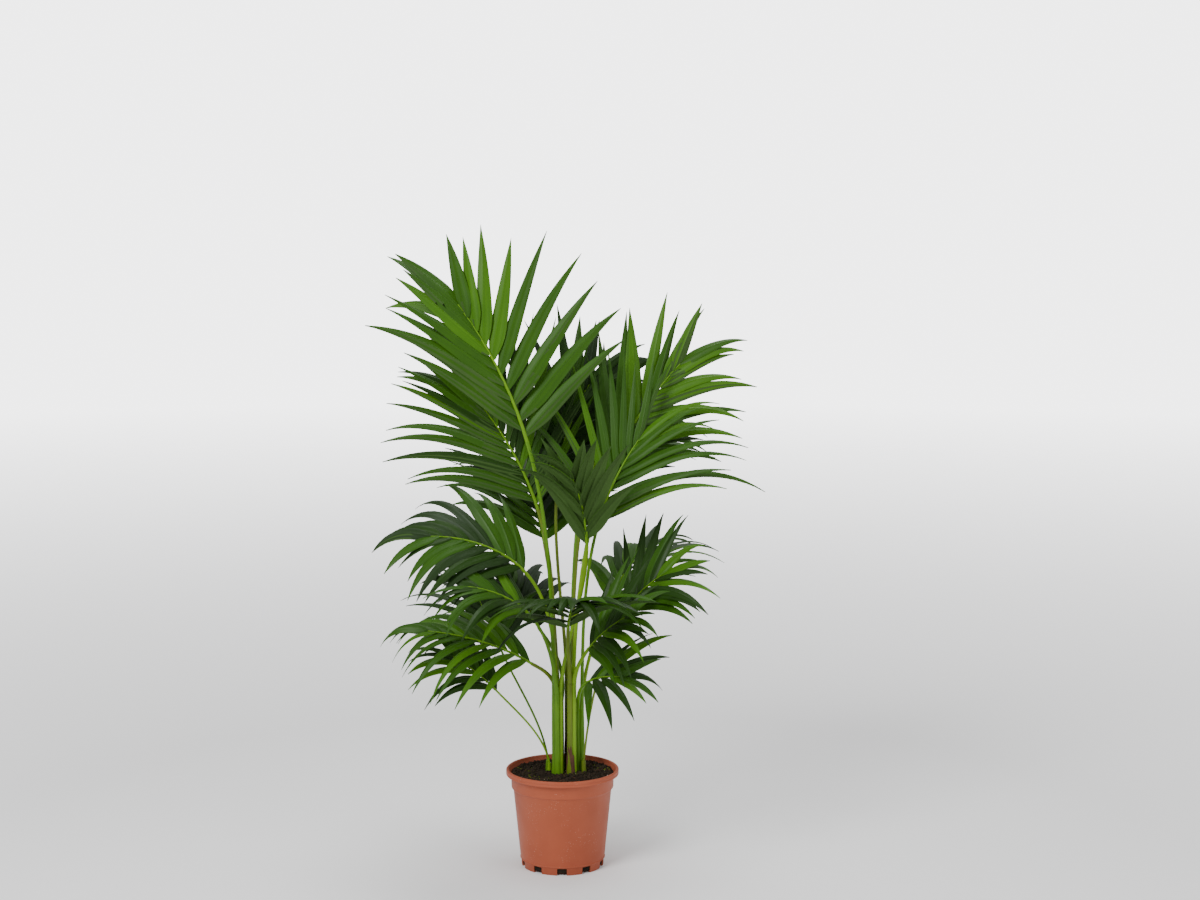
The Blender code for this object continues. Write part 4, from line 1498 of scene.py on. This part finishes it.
@dataclass
class RootBall:
    """The peat that fills the pot, with crumbs, grit, moss and rootlets on it."""

    top: float = 0.1755
    radius: float = 0.0950
    foot_radius: float = 0.0738
    foot: float = 0.0035
    waist_radius: float = 0.0885
    waist: float = 0.1455
    rings: int = 26
    sides: int = 120
    proud: float = 0.4
    wobble: float = 0.22
    roots: int = 46
    root_points: int = 9
    root_step: float = 0.0022
    root_turn: float = 0.6
    root_radii: tuple[float, float] = (0.00018, 0.00050)
    patch_scale: float = 28.0
    patch_level: float = 0.12
    tries: int = 40
    seed: int = 5

    def level(self, x: float, y: float) -> float:
        """How high the peat stands at a place.

        Args:
            x: the place across.
            y: the place from front to back.

        Returns:
            The height.
        """
        reach = math.hypot(x, y) / self.radius
        rough = noise.noise(Vector((x, y, 0.3)) * 45.0) * 0.0022
        fine = noise.noise(Vector((x, y, 1.7)) * 190.0) * 0.0011
        return self.top + 0.0006 + rough + fine + 0.0016 * (1.0 - reach**2) - 0.0012 * reach**6

    def build_body(self, material: bpy.types.Material) -> bpy.types.Object:
        """The peat itself, with an uneven top.

        Args:
            material: the peat.

        Returns:
            The piece.
        """
        piece = Piece("peat")
        outline = [(self.radius * i / self.rings, self.top) for i in range(self.rings + 1)]
        outline += [(self.radius - 0.0022, self.top - 0.012), (self.waist_radius, self.waist)]
        outline += [(self.foot_radius, self.foot), (0.0, self.foot)]
        spin_outline(piece.work, outline, self.sides)
        for vert in piece.work.verts:
            if vert.co.z > self.top - 0.0001:
                vert.co.z = self.level(vert.co.x, vert.co.y)
        return piece.finish([material], "soil", ("soil",))

    def spot(self, dice: random.Random, patchy: bool) -> tuple[float, float]:
        """A place on the peat, drawn again while it falls outside the patches.

        Args:
            dice: a seeded source of places.
            patchy: whether it keeps to patches.

        Returns:
            The place.
        """
        for _ in range(self.tries):
            reach = (self.radius - 0.003) * math.sqrt(dice.random())
            angle = dice.uniform(0.0, math.tau)
            x = reach * math.cos(angle)
            y = reach * math.sin(angle)
            if not patchy or noise.noise(Vector((x, y, 4.1)) * self.patch_scale) > self.patch_level:
                break
        return x, y

    def scatter(self, litter: Litter, material: bpy.types.Material) -> bpy.types.Object:
        """Lay many small uneven lumps on the peat, as one joined piece.

        Args:
            litter: their sizes and number.
            material: what they are made of.

        Returns:
            The piece.
        """
        piece = Piece(litter.name)
        dice = random.Random(litter.seed)
        for _ in range(litter.count):
            x, y = self.spot(dice, litter.patchy)
            size = litter.least + (litter.greatest - litter.least) * dice.random() ** 3
            turn = Matrix.Rotation(dice.uniform(0, math.tau), 4, "Z")
            turn = turn @ Matrix.Rotation(dice.uniform(-1, 1), 4, "X")
            shape = Matrix.Diagonal((size, size * dice.uniform(0.5, 1.0), size * litter.flat, 1.0))
            high = self.level(x, y) + size * litter.flat * self.proud
            place = Matrix.Translation((x, y, high)) @ turn @ shape
            lump = bmesh.ops.create_icosphere(piece.work, subdivisions=1, radius=1.0, matrix=place)
            for vert in lump["verts"]:
                wobble = Vector((dice.uniform(-1, 1), dice.uniform(-1, 1), dice.uniform(-1, 1)))
                vert.co += wobble * size * self.wobble
        return piece.finish([material], "soil", smooth=False)

    def rootlets(self, material: bpy.types.Material) -> bpy.types.Object:
        """Fine roots, fibres and bits of twig that lie on the peat.

        Args:
            material: the dry brown.

        Returns:
            The piece.
        """
        piece = Piece("rootlets")
        dice = random.Random(self.seed)
        for _ in range(self.roots):
            reach = self.radius * 0.88 * math.sqrt(dice.random())
            angle = dice.uniform(0.0, math.tau)
            at = Vector((reach * math.cos(angle), reach * math.sin(angle), 0.0))
            heading = dice.uniform(0.0, math.tau)
            points = []
            for _ in range(self.root_points):
                high = self.level(at.x, at.y) + 0.0009
                points.append(Vector((at.x, at.y, high)))
                heading += dice.uniform(-self.root_turn, self.root_turn)
                at += Vector((math.cos(heading), math.sin(heading), 0.0)) * self.root_step
                if math.hypot(at.x, at.y) > self.radius - 0.004:
                    at *= 0.94
            radius = dice.uniform(*self.root_radii)
            sweep(piece, points, [round_ring(radius)] * len(points), 5)
        return piece.finish([material], "soil")


@dataclass
class Studio:
    """A plain pale floor and backdrop, soft lights, and the camera."""

    eye: tuple[float, float, float] = (0.07, -4.0, 1.25)
    pitch: float = 6.7
    focal_pixels: float = 2197.0
    image_width: float = 1200.0
    sensor: float = 36.0
    floor_radius: float = 9.0
    fade_from: float = 1.2
    ambient: float = 0.55
    backdrop: float = 4.5
    surround: tuple[float, ...] = (0.95, 0.95, 0.96, 1.0)
    floor_colour: tuple[float, ...] = (0.88, 0.88, 0.88, 1.0)
    floor_roughness: float = 0.9
    aim: tuple[float, float, float] = (0.0, 0.0, 0.6)

    def build(self) -> None:
        """Make everything round the plant."""
        self.add_floor()
        self.add_world()
        self.add_light("key", (-2.0, -2.8, 2.9), 1.6, 150.0)
        self.add_light("fill", (2.8, -2.2, 1.6), 2.2, 40.0)
        self.add_light("top", (0.3, 0.8, 3.4), 1.8, 70.0)
        self.add_camera()

    def add_floor(self) -> None:
        """A round pale floor that fades into the surround at its edge."""
        work = bmesh.new()
        bmesh.ops.create_circle(work, cap_ends=True, segments=96, radius=self.floor_radius)
        floor = link_object("floor", finished_mesh("floor", work))
        material = bpy.data.materials.new("pale_floor")
        material.use_nodes = True
        tree = material.node_tree
        shader = tree.nodes["Principled BSDF"].inputs
        shader["Base Color"].default_value = self.floor_colour
        shader["Roughness"].default_value = self.floor_roughness
        place = tree.nodes.new("ShaderNodeTexCoord").outputs["Object"]
        reach = add_node(tree, "VectorMath", {0: place}, operation="LENGTH").outputs["Value"]
        fade = add_range(tree, reach, (self.fade_from, self.floor_radius), (1.0, 0.0))
        tree.links.new(fade, shader["Alpha"])
        floor.data.materials.append(material)

    def add_world(self) -> None:
        """An even pale surround."""
        world = bpy.data.worlds.new("studio")
        world.use_nodes = True
        surround = world.node_tree.nodes["Background"]
        surround.inputs["Color"].default_value = self.surround
        rays = world.node_tree.nodes.new("ShaderNodeLightPath").outputs["Is Camera Ray"]
        glow = add_range(world.node_tree, rays, (0.0, 1.0), (self.ambient, self.backdrop))
        world.node_tree.links.new(glow, surround.inputs["Strength"])
        bpy.context.scene.world = world

    def add_light(self, name: str, place: tuple, size: float, watts: float) -> None:
        """A soft square light aimed at the middle of the plant.

        Args:
            name: its name.
            place: where it stands.
            size: its side.
            watts: its power.
        """
        data = bpy.data.lights.new(name, "AREA")
        data.energy = watts
        data.size = size
        light = link_object(name, data)
        light.location = place
        aim = Vector(self.aim) - Vector(place)
        light.rotation_euler = aim.to_track_quat("-Z", "Y").to_euler()

    def add_camera(self) -> None:
        """The camera, at the height and angle of the photograph."""
        data = bpy.data.cameras.new("camera")
        data.sensor_width = self.sensor
        data.lens = self.focal_pixels / self.image_width * self.sensor
        camera = link_object("camera", data)
        camera.location = self.eye
        camera.rotation_euler = (math.radians(90.0 - self.pitch), 0.0, 0.0)
        bpy.context.scene.camera = camera


def build_plant(effects: Effects, growth: Growth) -> None:
    """Grow and dress the whole plant.

    Args:
        effects: the shared node groups.
        growth: the rule that it grows by.
    """
    leaves = {shade: finish.make(effects) for shade, finish in LEAF_FINISHES.items()}
    under = LEAF_UNDER.make(effects)
    midrib = MIDRIB.make(effects)
    greens = [finish.make(effects) for finish in STALK_FINISHES]
    husk = HUSK.make(effects)
    for number, (frond, rib, lines) in enumerate(growth.grow(), 1):
        Blade(number, frond, lines).build(leaves, under)
        limb = Limb(number, frond, rib, growth)
        limb.build_midrib(midrib)
        limb.build_stalk(greens[number % len(greens)])
    for number, stem in enumerate(STEMS, 1):
        seats = {at: growth.seat_of(frond) for at, frond in enumerate(FRONDS, 1) if frond.stem == number - 1}
        SheathedStem(number, stem, seats, growth).build(greens, husk)


def build_pot(effects: Effects) -> None:
    """Make the pot and what fills it.

    Args:
        effects: the shared node groups.
    """
    NurseryPot().build(POT_PLASTIC.make(effects))
    ball = RootBall()
    ball.build_body(PEAT.make(effects))
    for litter in LITTER:
        ball.scatter(litter, litter.finish.make(effects))
    ball.rootlets(HUSK.make(effects))


def main() -> None:
    """Build the scene in order."""
    logging.basicConfig(level=logging.INFO, format="%(message)s")
    effects = Effects()
    Studio().build()
    build_pot(effects)
    build_plant(effects, Growth())


if __name__ == "__main__":
    main()
